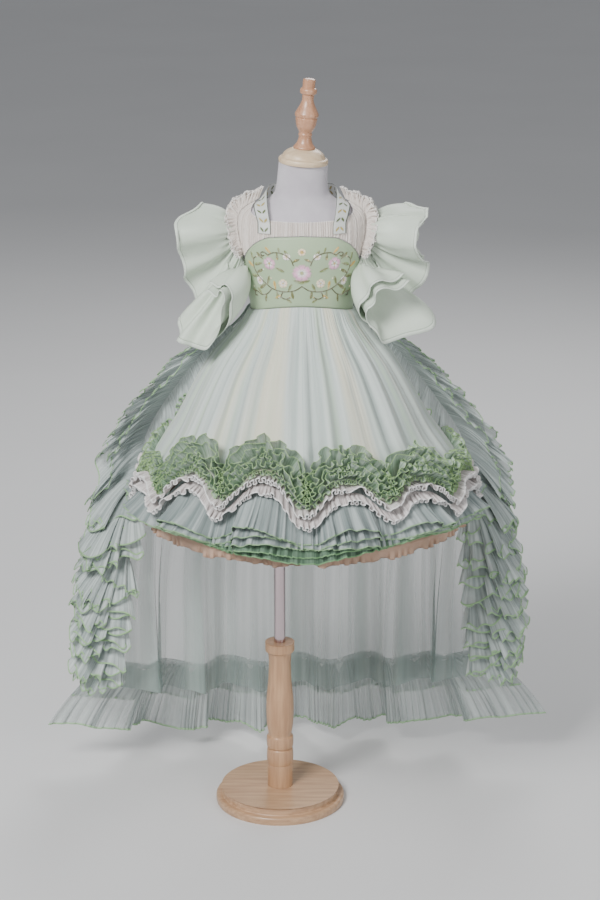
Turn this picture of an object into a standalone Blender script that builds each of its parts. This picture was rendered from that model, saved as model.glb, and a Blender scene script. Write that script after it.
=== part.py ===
"""A child's evening gown with a train, on a limbless dress form with a turned wooden stand.

Metres, +Z up. The gown faces -Y and the origin is the middle of the stand's base, on the floor.
Angles round the gown run from the centre front (0) by the +X side (90) to the centre back (180).
Every piece of cloth is an open sheet, worked out from one of the tables below and then given its
wall, so neighbouring layers share their shape and keep a measured distance.
"""

import math
from bisect import bisect_right

import bmesh
import bpy
from mathutils import Matrix, Vector


class Table:
    """Rows of named columns. A call reads one column on a monotone curve through the rows."""

    def __init__(self, columns, *rows):
        self.columns = columns.split()
        self.rows = sorted(rows)
        self.keys = [row[0] for row in self.rows]

    def __call__(self, column, at):
        values = [row[self.columns.index(column)] for row in self.rows]
        at = min(max(at, self.keys[0]), self.keys[-1])
        i = min(bisect_right(self.keys, at) - 1, len(self.keys) - 2)
        step = self.keys[i + 1] - self.keys[i]
        rise, fall = self.slope(values, i) * step, self.slope(values, i + 1) * step
        t = (at - self.keys[i]) / step
        return ((1 + 2 * t) * (1 - t) ** 2 * values[i] + t * (1 - t) ** 2 * rise
                + t * t * (3 - 2 * t) * values[i + 1] + t * t * (t - 1) * fall)

    def slope(self, values, i):
        """The curve's slope at a row: level where the column turns, else between its neighbours'."""
        if i in (0, len(values) - 1):
            j = min(i, len(values) - 2)
            return (values[j + 1] - values[j]) / (self.keys[j + 1] - self.keys[j])
        before = (values[i] - values[i - 1]) / (self.keys[i] - self.keys[i - 1])
        after = (values[i + 1] - values[i]) / (self.keys[i + 1] - self.keys[i])
        return 2 * before * after / (before + after) if before * after > 0 else 0.0


WALL = 0.0012            # thickness of the cloth
SEAM = 0.0004            # gap between pieces that are sewn together
WAIST_SEAM = 0.0010      # the same at the waist, where the skirt's wall leans out
TOUCH = 0.0003           # gap between hard pieces that stand on each other
WELD = 0.00001           # merge distance where a sheet closes on itself

BASE_TOP = 0.0266
COLUMN_TOP = 0.289
POLE_RADIUS = 0.0095
CAP_HEIGHT = 0.0235
NECK_TOP_Z = 1.1037
NECK_TILT = math.radians(4.2)
NECK_TILT_FROM = 1.05    # height at which the neck starts to lean to +X

GOWN_X = 0.037           # the bodice hangs this much to +X of the pole
HEM_X = 0.043            # and the hem this much
TRAIN_X = 0.028          # and the train's foot this much
WAIST_Z = 0.884
WAIST_DIP = 0.016        # the waist seam drops this much at the side seams
WAIST_SPREAD = 0.05      # height over which that dip fades out
BODICE_LIFT = 0.0017     # middle of the bodice's cloth above the form
YOKE_LIFT = 0.0026       # the same for the yoke
SHOULDER_LIFT = 0.0022   # and how much more of it at the tips of the shoulders
RIBBON_LIFT = 0.0052     # the ends of the ribbon lie over the yoke
RIBBON_WIDTH = 0.024
ARMHOLE_FRILL = 0.019    # how far the armhole frill stands out
ARMHOLE_WAVE = 0.0035

SCALLOPS = 12            # swags of the garland round the hem
SCALLOP_DEPTH = 0.020
GARLAND_Z = 0.604        # height of the garland's seam at the sides and the back
GARLAND_RISE = 0.036     # it climbs this much to the centre front
OVERSKIRT_FOLD = 0.0045
UNDER_SEAM = 0.006       # the under flounce's seam is this far below the lowest swag
FLOUNCE_SEAM = 0.003     # and the flounce's this far below the garland's
UNDER_HEM_Z = 0.526
FLOUNCE_HEM_Z = 0.530
FLOUNCE_HEM_RISE = 0.036

TRAIN_FREE_Z = 0.56      # below this height the train hangs free
TRAIN_FOOT_Z = 0.110
TRAIN_FOOT_RISE = 0.070  # the train's foot hangs this much higher at its front edges
TRAIN_FOOT_SKEW = 0.012  # and this much higher on the +X side
TRAIN_FOLD = 0.024
TRAIN_FLARE = 0.80       # how fast the flounce spreads out at the train's front corners
CASCADE_TOP_Z = 0.842
CASCADE_FOOT_Z = 0.188
CASCADE_WAVE = 0.16      # the waves' depth as a share of the ruffle's width
CASCADE_SPREAD = 0.19    # the share of it by which the two layers part
CASCADE_RAGGED = 0.10    # the share by which the width swings along a wave

# Waves and folds in each piece of cloth, and the points along one wave.
WAVES = {"overskirt": 12, "under": 12, "flounce": 26, "frill": 15, "garland": 24,
         "train": 6, "train_flounce": 16, "cascade": 11, "armhole": 6}
POINTS = {"overskirt": 4, "under": 3, "flounce": 3, "frill": 3, "garland": 3,
          "train": 4, "train_flounce": 3, "cascade": 3, "armhole": 3}

# The layers that are sewn round the hem: how far each stands off the lining at its own seam, how
# fast it leans out and its waves deepen from there, and how far that seam is below the garland's.
HEM_LAYERS = {
    "hem_under_flounce": (0.0029, 0.075, 0.05, 0.0),
    "hem_flounce": (0.0046, 0.22, 0.09, 0.0),
    "hem_frill_lower": (0.0106, 0.50, 0.18, 0.012),
    "hem_frill_upper": (0.0088, 0.86, 0.16, 0.004),
    "hem_garland": (0.0081, 0.80, 0.21, -0.012),
}
# The tiers at the train's foot: the height of the seam, the length, how far the tier stands off
# the panel at its seam, how fast it leans out and its waves deepen, and where they start.
TIERS = {
    "train_flounce_lower": (0.155, 0.130, 0.0034, 0.13, 0.08, 0.0),
    "train_flounce_upper": (0.165, 0.078, 0.0036, 0.38, 0.10, 2.0),
}

# The dress form: its axis, half its width, and its depth in front of and behind the axis.
BODY = Table(
    "z      axis    wide    front   back",
    (0.600, 0.008, 0.0740, 0.0560, 0.0560),
    (0.640, 0.014, 0.0860, 0.0660, 0.0680),
    (0.700, 0.022, 0.0920, 0.0700, 0.0760),
    (0.760, 0.030, 0.0930, 0.0700, 0.0760),
    (0.820, 0.036, 0.0860, 0.0660, 0.0680),
    (0.880, GOWN_X, 0.0800, 0.0635, 0.0600),
    (0.920, GOWN_X, 0.0880, 0.0690, 0.0620),
    (0.965, GOWN_X, 0.0965, 0.0725, 0.0660),
    (1.000, GOWN_X, 0.0995, 0.0660, 0.0650),
    (1.016, GOWN_X, 0.0985, 0.0580, 0.0600),
    (1.025, GOWN_X, 0.0940, 0.0520, 0.0550),
    (1.033, GOWN_X, 0.0830, 0.0465, 0.0500),
    (1.040, GOWN_X, 0.0680, 0.0420, 0.0460),
    (1.047, GOWN_X, 0.0530, 0.0385, 0.0425),
    (1.058, GOWN_X, 0.0430, 0.0360, 0.0395),
    (1.075, 0.0375, 0.0400, 0.0350, 0.0375),
    (NECK_TOP_Z, 0.0390, 0.0388, 0.0350, 0.0350),
)
# The lining's bell, from the hem to the waist seam.
SKIRT = Table(
    "z      axis    wide    front   back",
    (0.515, HEM_X, 0.2680, 0.2720, 0.2220),
    (0.560, HEM_X, 0.2640, 0.2680, 0.2180),
    (0.605, HEM_X, 0.2480, 0.2500, 0.2030),
    (0.640, 0.041, 0.2260, 0.2300, 0.1850),
    (0.680, 0.039, 0.1980, 0.2030, 0.1630),
    (0.725, 0.038, 0.1740, 0.1700, 0.1390),
    (0.780, GOWN_X, 0.1430, 0.1320, 0.1130),
    (0.830, GOWN_X, 0.1070, 0.0950, 0.0860),
    (0.862, GOWN_X, 0.0890, 0.0750, 0.0690),
    (WAIST_Z, GOWN_X, 0.0818, 0.0654, 0.0616),
)
# The train's panel, and the angle of its front edges.
TRAIN = Table(
    "z      axis     wide    front   back    edge",
    (TRAIN_FOOT_Z, TRAIN_X, 0.3020, 0.2400, 0.2320, 110),
    (0.300, TRAIN_X, 0.3020, 0.2500, 0.2380, 110),
    (0.450, 0.034, 0.3040, 0.2620, 0.2500, 112),
    (0.540, GOWN_X, 0.3080, 0.2700, 0.2640, 116),
    (0.600, 0.040, 0.3060, 0.2700, 0.2640, 119),
    (0.640, 0.039, 0.2880, 0.2500, 0.2440, 119),
    (0.690, GOWN_X, 0.2480, 0.2070, 0.2060, 116),
    (0.740, GOWN_X, 0.2050, 0.1660, 0.1650, 111),
    (0.790, GOWN_X, 0.1620, 0.1300, 0.1310, 106),
    (0.835, GOWN_X, 0.1210, 0.0980, 0.1000, 101),
    (0.862, GOWN_X, 0.1012, 0.0822, 0.0832, 98),
    (WAIST_Z, GOWN_X, 0.0886, 0.0722, 0.0684, 96),
)
TRAIN_ROWS = [TRAIN_FOOT_Z, 0.165, 0.260, 0.400, 0.540, 0.600, 0.640, 0.690, 0.740, 0.790, 0.835,
              WAIST_Z]
# How far the ruffle down the train's front edges stands out, by height.
CASCADE = Table(
    "z width",
    (CASCADE_FOOT_Z, 0.085), (0.30, 0.072), (0.45, 0.080), (0.54, 0.066),
    (0.60, 0.044), (0.70, 0.036), (0.78, 0.028), (CASCADE_TOP_Z, 0.014),
)
# The upper edge of the bodice, height by angle. It is lowest under the arms.
BODICE_TOP = Table(
    "angle z",
    (0, 0.9990), (30, 0.9955), (45, 0.9860), (60, 0.9700), (75, 0.9480), (90, 0.9280),
    (105, 0.9450), (120, 0.9640), (145, 0.9820), (180, 0.9880),
)
# The yoke's lower edge leaves the bodice at the armhole and climbs to the shoulder's tip.
YOKE_BOTTOM = Table(
    "angle z",
    (0, 0.9990), (30, 0.9955), (45, 0.9860), (60, 0.9700), (68, 0.9610), (74, 0.9780),
    (80, 1.0050), (90, 1.0230), (100, 1.0050), (106, 0.9780), (112, 0.9610), (120, 0.9640),
    (145, 0.9820), (180, 0.9880),
)
NECKLINE = Table(
    "angle z",
    (0, 1.0185), (30, 1.0200), (45, 1.0225), (60, 1.0280), (75, 1.0350), (90, 1.0380),
    (120, 1.0330), (150, 1.0260), (180, 1.0220),
)
# The lower end of the ribbon lies on the yoke: its middle, by angle and height.
RIBBON_ON_YOKE = [(35.5, 1.0010), (35.8, 1.0090), (36.4, 1.0160)]
# The rest of one half, up to the nape: its middle beside the gown's axis, and its width's way.
RIBBON_FREE = [
    ((0.0630, -0.0480, 1.0310), (0.86, 0.45, -0.06)),
    ((0.0655, -0.0280, 1.0450), (0.82, 0.30, -0.30)),
    ((0.0610, 0.0000, 1.0530), (0.50, 0.08, -0.84)),
    ((0.0490, 0.0360, 1.0520), (0.16, 0.10, -0.97)),
    ((0.0250, 0.0520, 1.0480), (0.03, 0.06, -1.00)),
    ((0.0, 0.0560, 1.0470), (0.0, 0.05, -1.00)),
]
# A sleeve flounce from the low front of the armhole over the shoulder to its low back: the
# place of its root round the armhole, its free edge beside the gown's axis, and its swell.
SLEEVE = {
    "left": Table(
        "t    root  x      y       z      swell",
        (0.00, 0.00, 0.148, -0.075, 0.922, 0.006), (0.05, 0.02, 0.126, -0.085, 0.926, 0.010),
        (0.10, 0.04, 0.112, -0.085, 0.902, 0.016), (0.15, 0.06, 0.111, -0.075, 0.870, 0.020),
        (0.20, 0.08, 0.124, -0.060, 0.838, 0.020), (0.25, 0.10, 0.142, -0.050, 0.825, 0.014),
        (0.30, 0.12, 0.166, -0.040, 0.829, 0.010), (0.35, 0.15, 0.184, -0.030, 0.836, 0.006),
        (0.40, 0.17, 0.173, -0.015, 0.861, 0.004), (0.45, 0.20, 0.153, 0.000, 0.873, 0.004),
        (0.50, 0.23, 0.166, 0.005, 0.900, 0.000), (0.55, 0.27, 0.183, 0.000, 0.928, -0.004),
        (0.60, 0.31, 0.185, -0.015, 0.953, -0.010), (0.65, 0.35, 0.193, -0.035, 0.982, -0.012),
        (0.70, 0.39, 0.196, -0.035, 1.006, -0.014), (0.75, 0.43, 0.189, -0.020, 1.016, -0.014),
        (0.80, 0.48, 0.163, 0.005, 1.022, -0.012), (0.85, 0.56, 0.160, 0.035, 1.012, -0.008),
        (0.90, 0.70, 0.185, 0.050, 0.975, 0.000), (0.95, 0.85, 0.165, 0.058, 0.910, 0.010),
        (1.00, 1.00, 0.115, 0.048, 0.880, 0.010)),
    "right": Table(
        "t    root  x      y       z      swell",
        (0.00, 0.00, 0.163, -0.070, 0.937, 0.004), (0.05, 0.02, 0.138, -0.085, 0.935, 0.008),
        (0.10, 0.04, 0.110, -0.090, 0.921, 0.010), (0.15, 0.06, 0.095, -0.085, 0.895, 0.012),
        (0.20, 0.08, 0.103, -0.070, 0.855, 0.016), (0.25, 0.10, 0.125, -0.058, 0.837, 0.014),
        (0.30, 0.12, 0.157, -0.045, 0.845, 0.010), (0.35, 0.15, 0.194, -0.030, 0.853, 0.006),
        (0.40, 0.17, 0.175, -0.010, 0.878, 0.004), (0.45, 0.20, 0.152, 0.005, 0.884, 0.004),
        (0.50, 0.23, 0.176, 0.008, 0.906, 0.000), (0.55, 0.27, 0.196, 0.000, 0.943, -0.004),
        (0.60, 0.31, 0.190, -0.020, 0.967, -0.008), (0.65, 0.35, 0.176, -0.040, 0.983, -0.012),
        (0.70, 0.39, 0.178, -0.035, 1.000, -0.014), (0.75, 0.43, 0.194, -0.015, 1.007, -0.016),
        (0.80, 0.48, 0.195, 0.005, 1.023, -0.016), (0.85, 0.56, 0.165, 0.035, 1.015, -0.010),
        (0.90, 0.70, 0.185, 0.050, 0.975, 0.000), (0.95, 0.85, 0.165, 0.058, 0.910, 0.010),
        (1.00, 1.00, 0.115, 0.048, 0.880, 0.010)),
}
# Where each layer starts and ends in the lower and the upper flute, as shares of the way from the
# root to the edge, and how far it lies inside at its root and at its edge.
SLEEVE_LAYERS = {
    "outer": ((0.0, 1.0), (0.0, 1.0), 0.0, 0.0),
    "inner": ((0.24, 1.09), (0.02, 0.92), 0.0030, 0.0066),
}
# Turned profiles: radius and height, top to bottom.
BASE = [
    (0.0, BASE_TOP), (0.0940, BASE_TOP), (0.0980, 0.0245), (0.0985, 0.0150), (0.1000, 0.0133),
    (0.1065, 0.0133), (0.1092, 0.0105), (0.1095, 0.0050), (0.1085, 0.0), (0.0, 0.0),
]
COLUMN = [
    (0.0, COLUMN_TOP), (0.0232, COLUMN_TOP), (0.0246, 0.2870), (0.0246, 0.2745), (0.0230, 0.2722),
    (0.0205, 0.2700), (0.0190, 0.2600), (0.0186, 0.2454), (0.0200, 0.2150), (0.0226, 0.1880),
    (0.0234, 0.1650), (0.0222, 0.1380), (0.0198, 0.1210), (0.0224, 0.1170), (0.0229, 0.1085),
    (0.0222, 0.0990), (0.0198, 0.0962), (0.0222, 0.0925), (0.0227, 0.0810), (0.0218, 0.0685),
    (0.0198, 0.0662), (0.0213, 0.0640), (0.0213, BASE_TOP + TOUCH), (0.0, BASE_TOP + TOUCH),
]
CAP = [
    (0.0, CAP_HEIGHT), (0.0176, CAP_HEIGHT), (0.0240, 0.0215), (0.0310, 0.0160), (0.0350, 0.0095),
    (0.0385, 0.0078), (0.0395, 0.0045), (0.0388, TOUCH), (0.0, TOUCH),
]
FINIAL = [
    (0.0, 0.1110), (0.0062, 0.1104), (0.0099, 0.1080), (0.0099, 0.0965), (0.0133, 0.0935),
    (0.0133, 0.0880), (0.0094, 0.0850), (0.0092, 0.0770), (0.0118, 0.0690), (0.0165, 0.0600),
    (0.0188, 0.0548), (0.0184, 0.0510), (0.0166, 0.0490), (0.0173, 0.0465), (0.0150, 0.0350),
    (0.0103, 0.0258), (0.0108, 0.0222), (0.0100, 0.0186), (0.0108, 0.0140), (0.0130, 0.0080),
    (0.0174, 0.0020), (0.0174, 0.0), (0.0, 0.0),
]


def blend(low, high, t):
    return low + (high - low) * t


def sag(angle, z):
    """How far a layer drops at the sides, round the waist."""
    return WAIST_DIP * math.sin(angle) ** 2 * math.exp(-((z - WAIST_Z) / WAIST_SPREAD) ** 2)


def on(table, angle, z):
    """The point of a table's surface at an angle and a height."""
    depth = table("front" if math.cos(angle) > 0 else "back", z)
    across = table("wide", z) * math.sin(angle)
    lean = min(max((z - NECK_TILT_FROM) / (NECK_TOP_Z - NECK_TILT_FROM), 0.0), 1.0)
    height = z - sag(angle, z) - math.tan(NECK_TILT) * across * lean
    return Vector((table("axis", z) + across, -depth * math.cos(angle), height))


def facing(surface, a, b, step=0.0005):
    """The unit normal of a surface(a, b), where a runs to the right of b seen from outside."""
    da = surface(a + step, b) - surface(a - step, b)
    db = surface(a, b + step) - surface(a, b - step)
    return da.cross(db).normalized()


def over(table, angle, z, lift):
    """The point lift metres off a table's surface."""
    def surface(a, b):
        return on(table, a, b)
    return on(table, angle, z) + facing(surface, angle, z) * lift


def spline(points, t):
    """A point on a Catmull-Rom curve through points, t from 0 to 1."""
    at = t * (len(points) - 1)
    i = min(int(at), len(points) - 2)
    f = at - i
    p1, p2 = points[i], points[i + 1]
    p0 = points[i - 1] if i > 0 else p1 * 2 - p2
    p3 = points[i + 2] if i + 2 < len(points) else p2 * 2 - p1
    return (p1 * 2 + (p2 - p0) * f + (p0 * 2 - p1 * 5 + p2 * 4 - p3) * f * f
            + (p1 * 3 - p0 - p2 * 3 + p3) * f ** 3) * 0.5


def finish(name, colour, roughness, metallic=0.0):
    material = bpy.data.materials.new(name)
    material.use_nodes = True
    shader = material.node_tree.nodes["Principled BSDF"]
    shader.inputs["Base Color"].default_value = (*colour, 1.0)
    shader.inputs["Roughness"].default_value = roughness
    shader.inputs["Metallic"].default_value = metallic
    material.diffuse_color = (*colour, 1.0)
    return material


def place(name, shape, material):
    """Turns a bmesh into a named object of the gown's collection."""
    mesh = bpy.data.meshes.new(name)
    shape.to_mesh(mesh)
    shape.free()
    mesh.materials.append(material)
    mesh.shade_smooth()
    piece = bpy.data.objects.new(name, mesh)
    gown.objects.link(piece)
    return piece


def cloth(name, sheet, across, up, material, closed=False):
    """A sheet of cloth. sheet(u, v) is the middle of its wall; u runs round, v from low to high."""
    shape = bmesh.new()
    bmesh.ops.create_grid(shape, x_segments=across, y_segments=up, size=0.5)
    for vertex in shape.verts:
        vertex.co = sheet(vertex.co.x + 0.5, vertex.co.y + 0.5)
    if closed:
        bmesh.ops.remove_doubles(shape, verts=shape.verts, dist=WELD)
    wall = place(name, shape, material).modifiers.new("wall", "SOLIDIFY")
    wall.thickness = WALL
    wall.offset = 0.0
    wall.use_quality_normals = True


def turned(name, profile, steps, material, frame=Matrix.Identity(4)):
    """A turned piece from its profile of radius and height, top to bottom."""
    shape = bmesh.new()
    corners = [shape.verts.new((radius, 0.0, height)) for radius, height in profile]
    for upper, lower in zip(corners, corners[1:]):
        shape.edges.new((upper, lower))
    piece = place(name, shape, material)
    piece.matrix_world = frame
    lathe = piece.modifiers.new("lathe", "SCREW")
    lathe.steps = lathe.render_steps = steps
    lathe.use_merge_vertices = True
    lathe.merge_threshold = WELD


def stand():
    """The wooden base and column, and the metal pole that carries the form."""
    turned("base", BASE, 30, beech)
    turned("column", COLUMN, 16, beech)
    bottom, top = COLUMN_TOP + TOUCH, BODY.keys[0] - TOUCH
    turned("pole", [(0.0, top), (POLE_RADIUS, top), (POLE_RADIUS, bottom), (0.0, bottom)], 14, chrome)


def dress_form():
    """The padded torso, and the wooden cap and finial on its leaning neck."""
    rows = BODY.keys[:5] + [0.850] + BODY.keys[5:6] + [0.900, 0.920, 0.942, 0.965, 0.983] + BODY.keys[8:]
    shape = bmesh.new()
    bmesh.ops.create_grid(shape, x_segments=36, y_segments=len(rows) - 1, size=0.5)
    for vertex in shape.verts:
        row = rows[round((vertex.co.y + 0.5) * (len(rows) - 1))]
        vertex.co = on(BODY, (vertex.co.x + 0.5) * 2 * math.pi, row)
    bmesh.ops.remove_doubles(shape, verts=shape.verts, dist=WELD)
    bmesh.ops.holes_fill(shape, edges=[edge for edge in shape.edges if edge.is_boundary])
    bmesh.ops.recalc_face_normals(shape, faces=shape.faces)
    place("form_torso", shape, jersey)

    neck = (Matrix.Translation((BODY("axis", NECK_TOP_Z), 0.0, NECK_TOP_Z))
            @ Matrix.Rotation(NECK_TILT, 4, "Y"))
    turned("neck_cap", CAP, 22, pale_beech, neck)
    foot = Matrix.Translation((0.0, 0.0, CAP_HEIGHT + TOUCH))
    turned("finial", FINIAL, 14, stained_beech, neck @ foot)


def yoke_lift(angle):
    return YOKE_LIFT + SHOULDER_LIFT * math.sin(angle) ** 6


def by_angle(table, gap=0.0):
    """An edge whose height by angle is the same on both sides of the gown."""
    def height(angle):
        turn = math.degrees(angle) % 360
        return table("z", min(turn, 360 - turn)) + gap
    return height


def bodice_and_yoke():
    """Front and two back halves of the satin bodice, and the same of the tulle yoke above it."""
    slack = math.degrees(SEAM / 2 / BODY("wide", WAIST_Z))
    spans = {"front": (-90 + slack, 90 - slack, 18), "back_right": (90 + slack, 180 - slack, 9),
             "back_left": (180 + slack, 270 - slack, 9)}

    def panel(name, part, low, high, rows, crowd, lift, material):
        start, end, across = spans[part]

        def sheet(u, v):
            angle = math.radians(blend(start, end, u))
            return over(BODY, angle, blend(low(angle), high(angle), v ** crowd), lift(angle))
        cloth(f"{name}_{part}", sheet, across, rows, material)
    for part in spans:
        panel("bodice", part, lambda angle: WAIST_Z + WAIST_SEAM, by_angle(BODICE_TOP), 4, 1.0,
              lambda angle: BODICE_LIFT, satin)
        panel("yoke", part, by_angle(YOKE_BOTTOM, 3 * SEAM), by_angle(NECKLINE), 5, 0.7,
              yoke_lift, cream_tulle)


def ribbon():
    """The halter ribbon: it leaves the bodice, passes the shoulder and runs behind the neck."""
    half = []
    for degrees, z in RIBBON_ON_YOKE:
        turn = RIBBON_WIDTH / 2 / BODY("wide", z)
        half.append([over(BODY, math.radians(degrees) + turn * side, z, RIBBON_LIFT)
                     for side in (-1, 0, 1)])
    for middle, width in RIBBON_FREE:
        half.append([Vector(middle) + Vector((GOWN_X, 0.0, 0.0))
                     + Vector(width).normalized() * RIBBON_WIDTH / 2 * side for side in (-1, 0, 1)])
    path = [[Vector((2 * GOWN_X - point.x, point.y, point.z)) for point in row] for row in half]
    path += reversed(half[:-1])

    def sheet(u, v):
        return spline([row[round(2 * v)] for row in path], u)
    cloth("neck_ribbon", sheet, 32, 2, organza)


def armhole_frills():
    """Short frills that stand out along the yoke's armhole edges."""
    def root(side, t):
        degrees = blend(69.0, 111.0, t)
        angle = math.radians(side * degrees)
        return over(BODY, angle, YOKE_BOTTOM("z", degrees) + 0.004, yoke_lift(angle) + WALL + SEAM)
    for name, side in (("right", 1), ("left", -1)):
        def sheet(u, v):
            t = u if side < 0 else 1 - u
            along = (root(side, min(t + 0.02, 1)) - root(side, max(t - 0.02, 0))).normalized()
            sway = 2 * t - 1
            out = Vector((side * 0.42, 0.75 * sway, 0.85 * (1 - sway * sway))).normalized()
            wave = math.cos(2 * math.pi * WAVES["armhole"] * t) * ARMHOLE_WAVE
            edge = out * ARMHOLE_FRILL + along.cross(out).normalized() * wave
            return root(side, t) + edge * (1 - v)
        cloth(f"armhole_frill_{name}", sheet, WAVES["armhole"] * POINTS["armhole"], 1, cream_tulle)


def sleeves():
    """Two wide taffeta flounces on each armhole, which fall in a lower and an upper flute."""
    for name, side in (("right", 1), ("left", -1)):
        rows = SLEEVE[name]

        def flat(t, w):
            """The flounce without its swell; t runs along it and w from its root to its edge."""
            place_on = rows("root", t)
            angle = math.radians(side * blend(70.0, 110.0, place_on))
            root = over(BODY, angle, blend(0.942, 0.998, math.sin(math.pi * place_on)), YOKE_LIFT + SEAM)
            edge = Vector((GOWN_X + side * rows("x", t), rows("y", t), rows("z", t)))
            return root.lerp(edge, w)

        def swollen(t, w):
            normal = facing(flat, min(max(t, 0.02), 0.98), max(w, 0.05), 0.019) * side
            return flat(t, w) + normal * rows("swell", t) * math.sin(math.pi * min(w, 1.0))
        for layer, (lower, upper, gap_root, gap_edge) in SLEEVE_LAYERS.items():
            def sheet(u, v):
                t = u if side < 0 else 1 - u
                lobe = min(max((t - 0.40) / 0.20, 0.0), 1.0)
                w = {0: blend(lower[1], upper[1], lobe), 3: blend(lower[0], upper[0], lobe)}.get(
                    round(3 * v), 1 - v)
                normal = facing(swollen, min(max(t, 0.02), 0.98), max(w, 0.05), 0.019) * side
                return swollen(t, w) - normal * blend(gap_root, gap_edge, w)
            cloth(f"sleeve_{name}_{layer}", sheet, 28, 3, taffeta)


def front_part(angle):
    """1 at the centre front, falling to 0 at the sides and staying 0 behind."""
    return max(math.cos(angle), 0.0) ** 1.5


def garland_line(angle):
    """The height of the garland's seam, which swings in swags round the hem."""
    return GARLAND_Z + GARLAND_RISE * front_part(angle) - SCALLOP_DEPTH * math.cos(SCALLOPS * angle)


def flounce(name, kind, seam, drops, material, phase=0.0):
    """A gathered ring round the skirt. seam(angle) is its height; drops are its rows below it."""
    root, lean, wave, start = HEM_LAYERS[name]

    def sheet(u, v):
        angle = u * 2 * math.pi
        drop = drops[round(v * (len(drops) - 1))](angle)
        fold = math.cos(WAVES[kind] * angle + phase) * wave
        return over(SKIRT, angle, seam(angle) - drop, root + (lean + fold) * abs(drop - start))
    cloth(name, sheet, WAVES[kind] * POINTS[kind], len(drops) - 1, material, closed=True)


def skirt():
    """The lining and the gathered overskirt."""
    def lining(u, v):
        return on(SKIRT, u * 2 * math.pi, rows[round(v * (len(rows) - 1))])
    rows = [z for z in SKIRT.keys if z != 0.725]
    cloth("skirt_lining", lining, 40, len(rows) - 1, cotton, closed=True)

    def overskirt(u, v):
        angle = u * 2 * math.pi
        z = blend(garland_line(angle) + 0.004, WAIST_Z, v)
        shown = blend(0.25, 1.0, min(max(math.cos(angle) * 2 + 1, 0.0), 1.0))
        swell = (OVERSKIRT_FOLD * math.sin(math.pi * v) ** 0.7 + 0.0012 * (1 - v)) * shown
        fold = math.cos(WAVES["overskirt"] * angle) * swell
        return over(SKIRT, angle, z, 3 * WALL + swell + fold)
    cloth("overskirt", overskirt, WAVES["overskirt"] * POINTS["overskirt"], 5, green_tulle, closed=True)


def under_line(angle):
    """The height of the under flounce's seam, below every swag of the garland."""
    return GARLAND_Z + GARLAND_RISE * front_part(angle) - SCALLOP_DEPTH - UNDER_SEAM


def hem():
    """The flounces, frills and garland that are sewn round the hem, from the inside out."""
    def share(length, part):
        return lambda angle: length(angle) * part

    def level(drop):
        return lambda angle: drop

    def flounce_line(angle):
        return garland_line(angle) - FLOUNCE_SEAM

    def under_length(angle):
        return under_line(angle) - UNDER_HEM_Z

    def flounce_length(angle):
        return flounce_line(angle) - FLOUNCE_HEM_Z - FLOUNCE_HEM_RISE * front_part(angle)
    flounce("hem_under_flounce", "under", under_line,
            [share(under_length, part) for part in (1.0, 0.67, 0.33, 0.0)], dark_tulle, 1.0)
    flounce("hem_flounce", "flounce", flounce_line,
            [share(flounce_length, part) for part in (1.0, 0.5, 0.0)], blue_tulle)
    flounce("hem_frill_lower", "frill", garland_line, [level(0.031), level(0.013)], cream_tulle, 2.0)
    flounce("hem_frill_upper", "frill", garland_line, [level(0.023), level(0.004)], cream_tulle, 0.5)
    flounce("hem_garland", "garland", garland_line, [level(0.018), level(-0.012), level(-0.036)],
            green_garland)


def train_edge(z):
    return math.radians(TRAIN("edge", z))


def loose(z):
    """0 where the train lies over the skirt, growing to 1 at its foot."""
    return min(max((TRAIN_FREE_Z - z) / (TRAIN_FREE_Z - TRAIN_FOOT_Z), 0.0), 1.0)


def train_angle(u, z):
    return blend(train_edge(z), 2 * math.pi - train_edge(z), u)


def train_lift(u):
    """How much the train's foot rises at a place along it."""
    off_middle = 2 * u - 1
    return TRAIN_FOOT_RISE * off_middle ** 2 - TRAIN_FOOT_SKEW * off_middle


def train_column(u, z):
    """The train at one of its folds' columns."""
    height = z + train_lift(u) * loose(z)
    fold = math.cos(2 * math.pi * WAVES["train"] * u) * TRAIN_FOLD * loose(z)
    return over(TRAIN, train_angle(u, z), height, fold)


def on_train(u, z):
    """The train's panel, straight between its columns and rows as the solid is."""
    columns = WAVES["train"] * POINTS["train"]
    left = min(int(u * columns + WELD), columns - 1)
    row = min(max(bisect_right(TRAIN_ROWS, z) - 1, 0), len(TRAIN_ROWS) - 2)
    low, high = TRAIN_ROWS[row], TRAIN_ROWS[row + 1]

    def along(height):
        start, end = train_column(left / columns, height), train_column((left + 1) / columns, height)
        return start.lerp(end, u * columns - left)
    return along(low).lerp(along(high), (z - low) / (high - low))


def train():
    """The sheer panel of the train and the two tiers of flounce at its foot."""
    def panel(u, v):
        return train_column(u, TRAIN_ROWS[round(v * (len(TRAIN_ROWS) - 1))])
    cloth("train_panel", panel, WAVES["train"] * POINTS["train"], len(TRAIN_ROWS) - 1, train_tulle)

    for name, (seam_z, length, root, lean, wave, phase) in TIERS.items():
        def sheet(u, v):
            drop = length * (1 - v)
            out = on_train(u, seam_z) - Vector((TRAIN_X, 0.0, 0.0))
            out = Vector((out.x, out.y, 0.0)).normalized()
            corner = TRAIN_FLARE * abs(2 * u - 1) ** 3
            fold = math.cos(2 * math.pi * WAVES["train_flounce"] * u + phase) * wave
            seam = on_train(u, max(seam_z - drop, TRAIN_FOOT_Z))
            below = min(seam_z - drop - TRAIN_FOOT_Z, 0.0)
            return seam + out * (root + (lean + fold + corner) * drop) + Vector((0.0, 0.0, below))
        cloth(name, sheet, WAVES["train_flounce"] * POINTS["train_flounce"], 2, blue_tulle)


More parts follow.
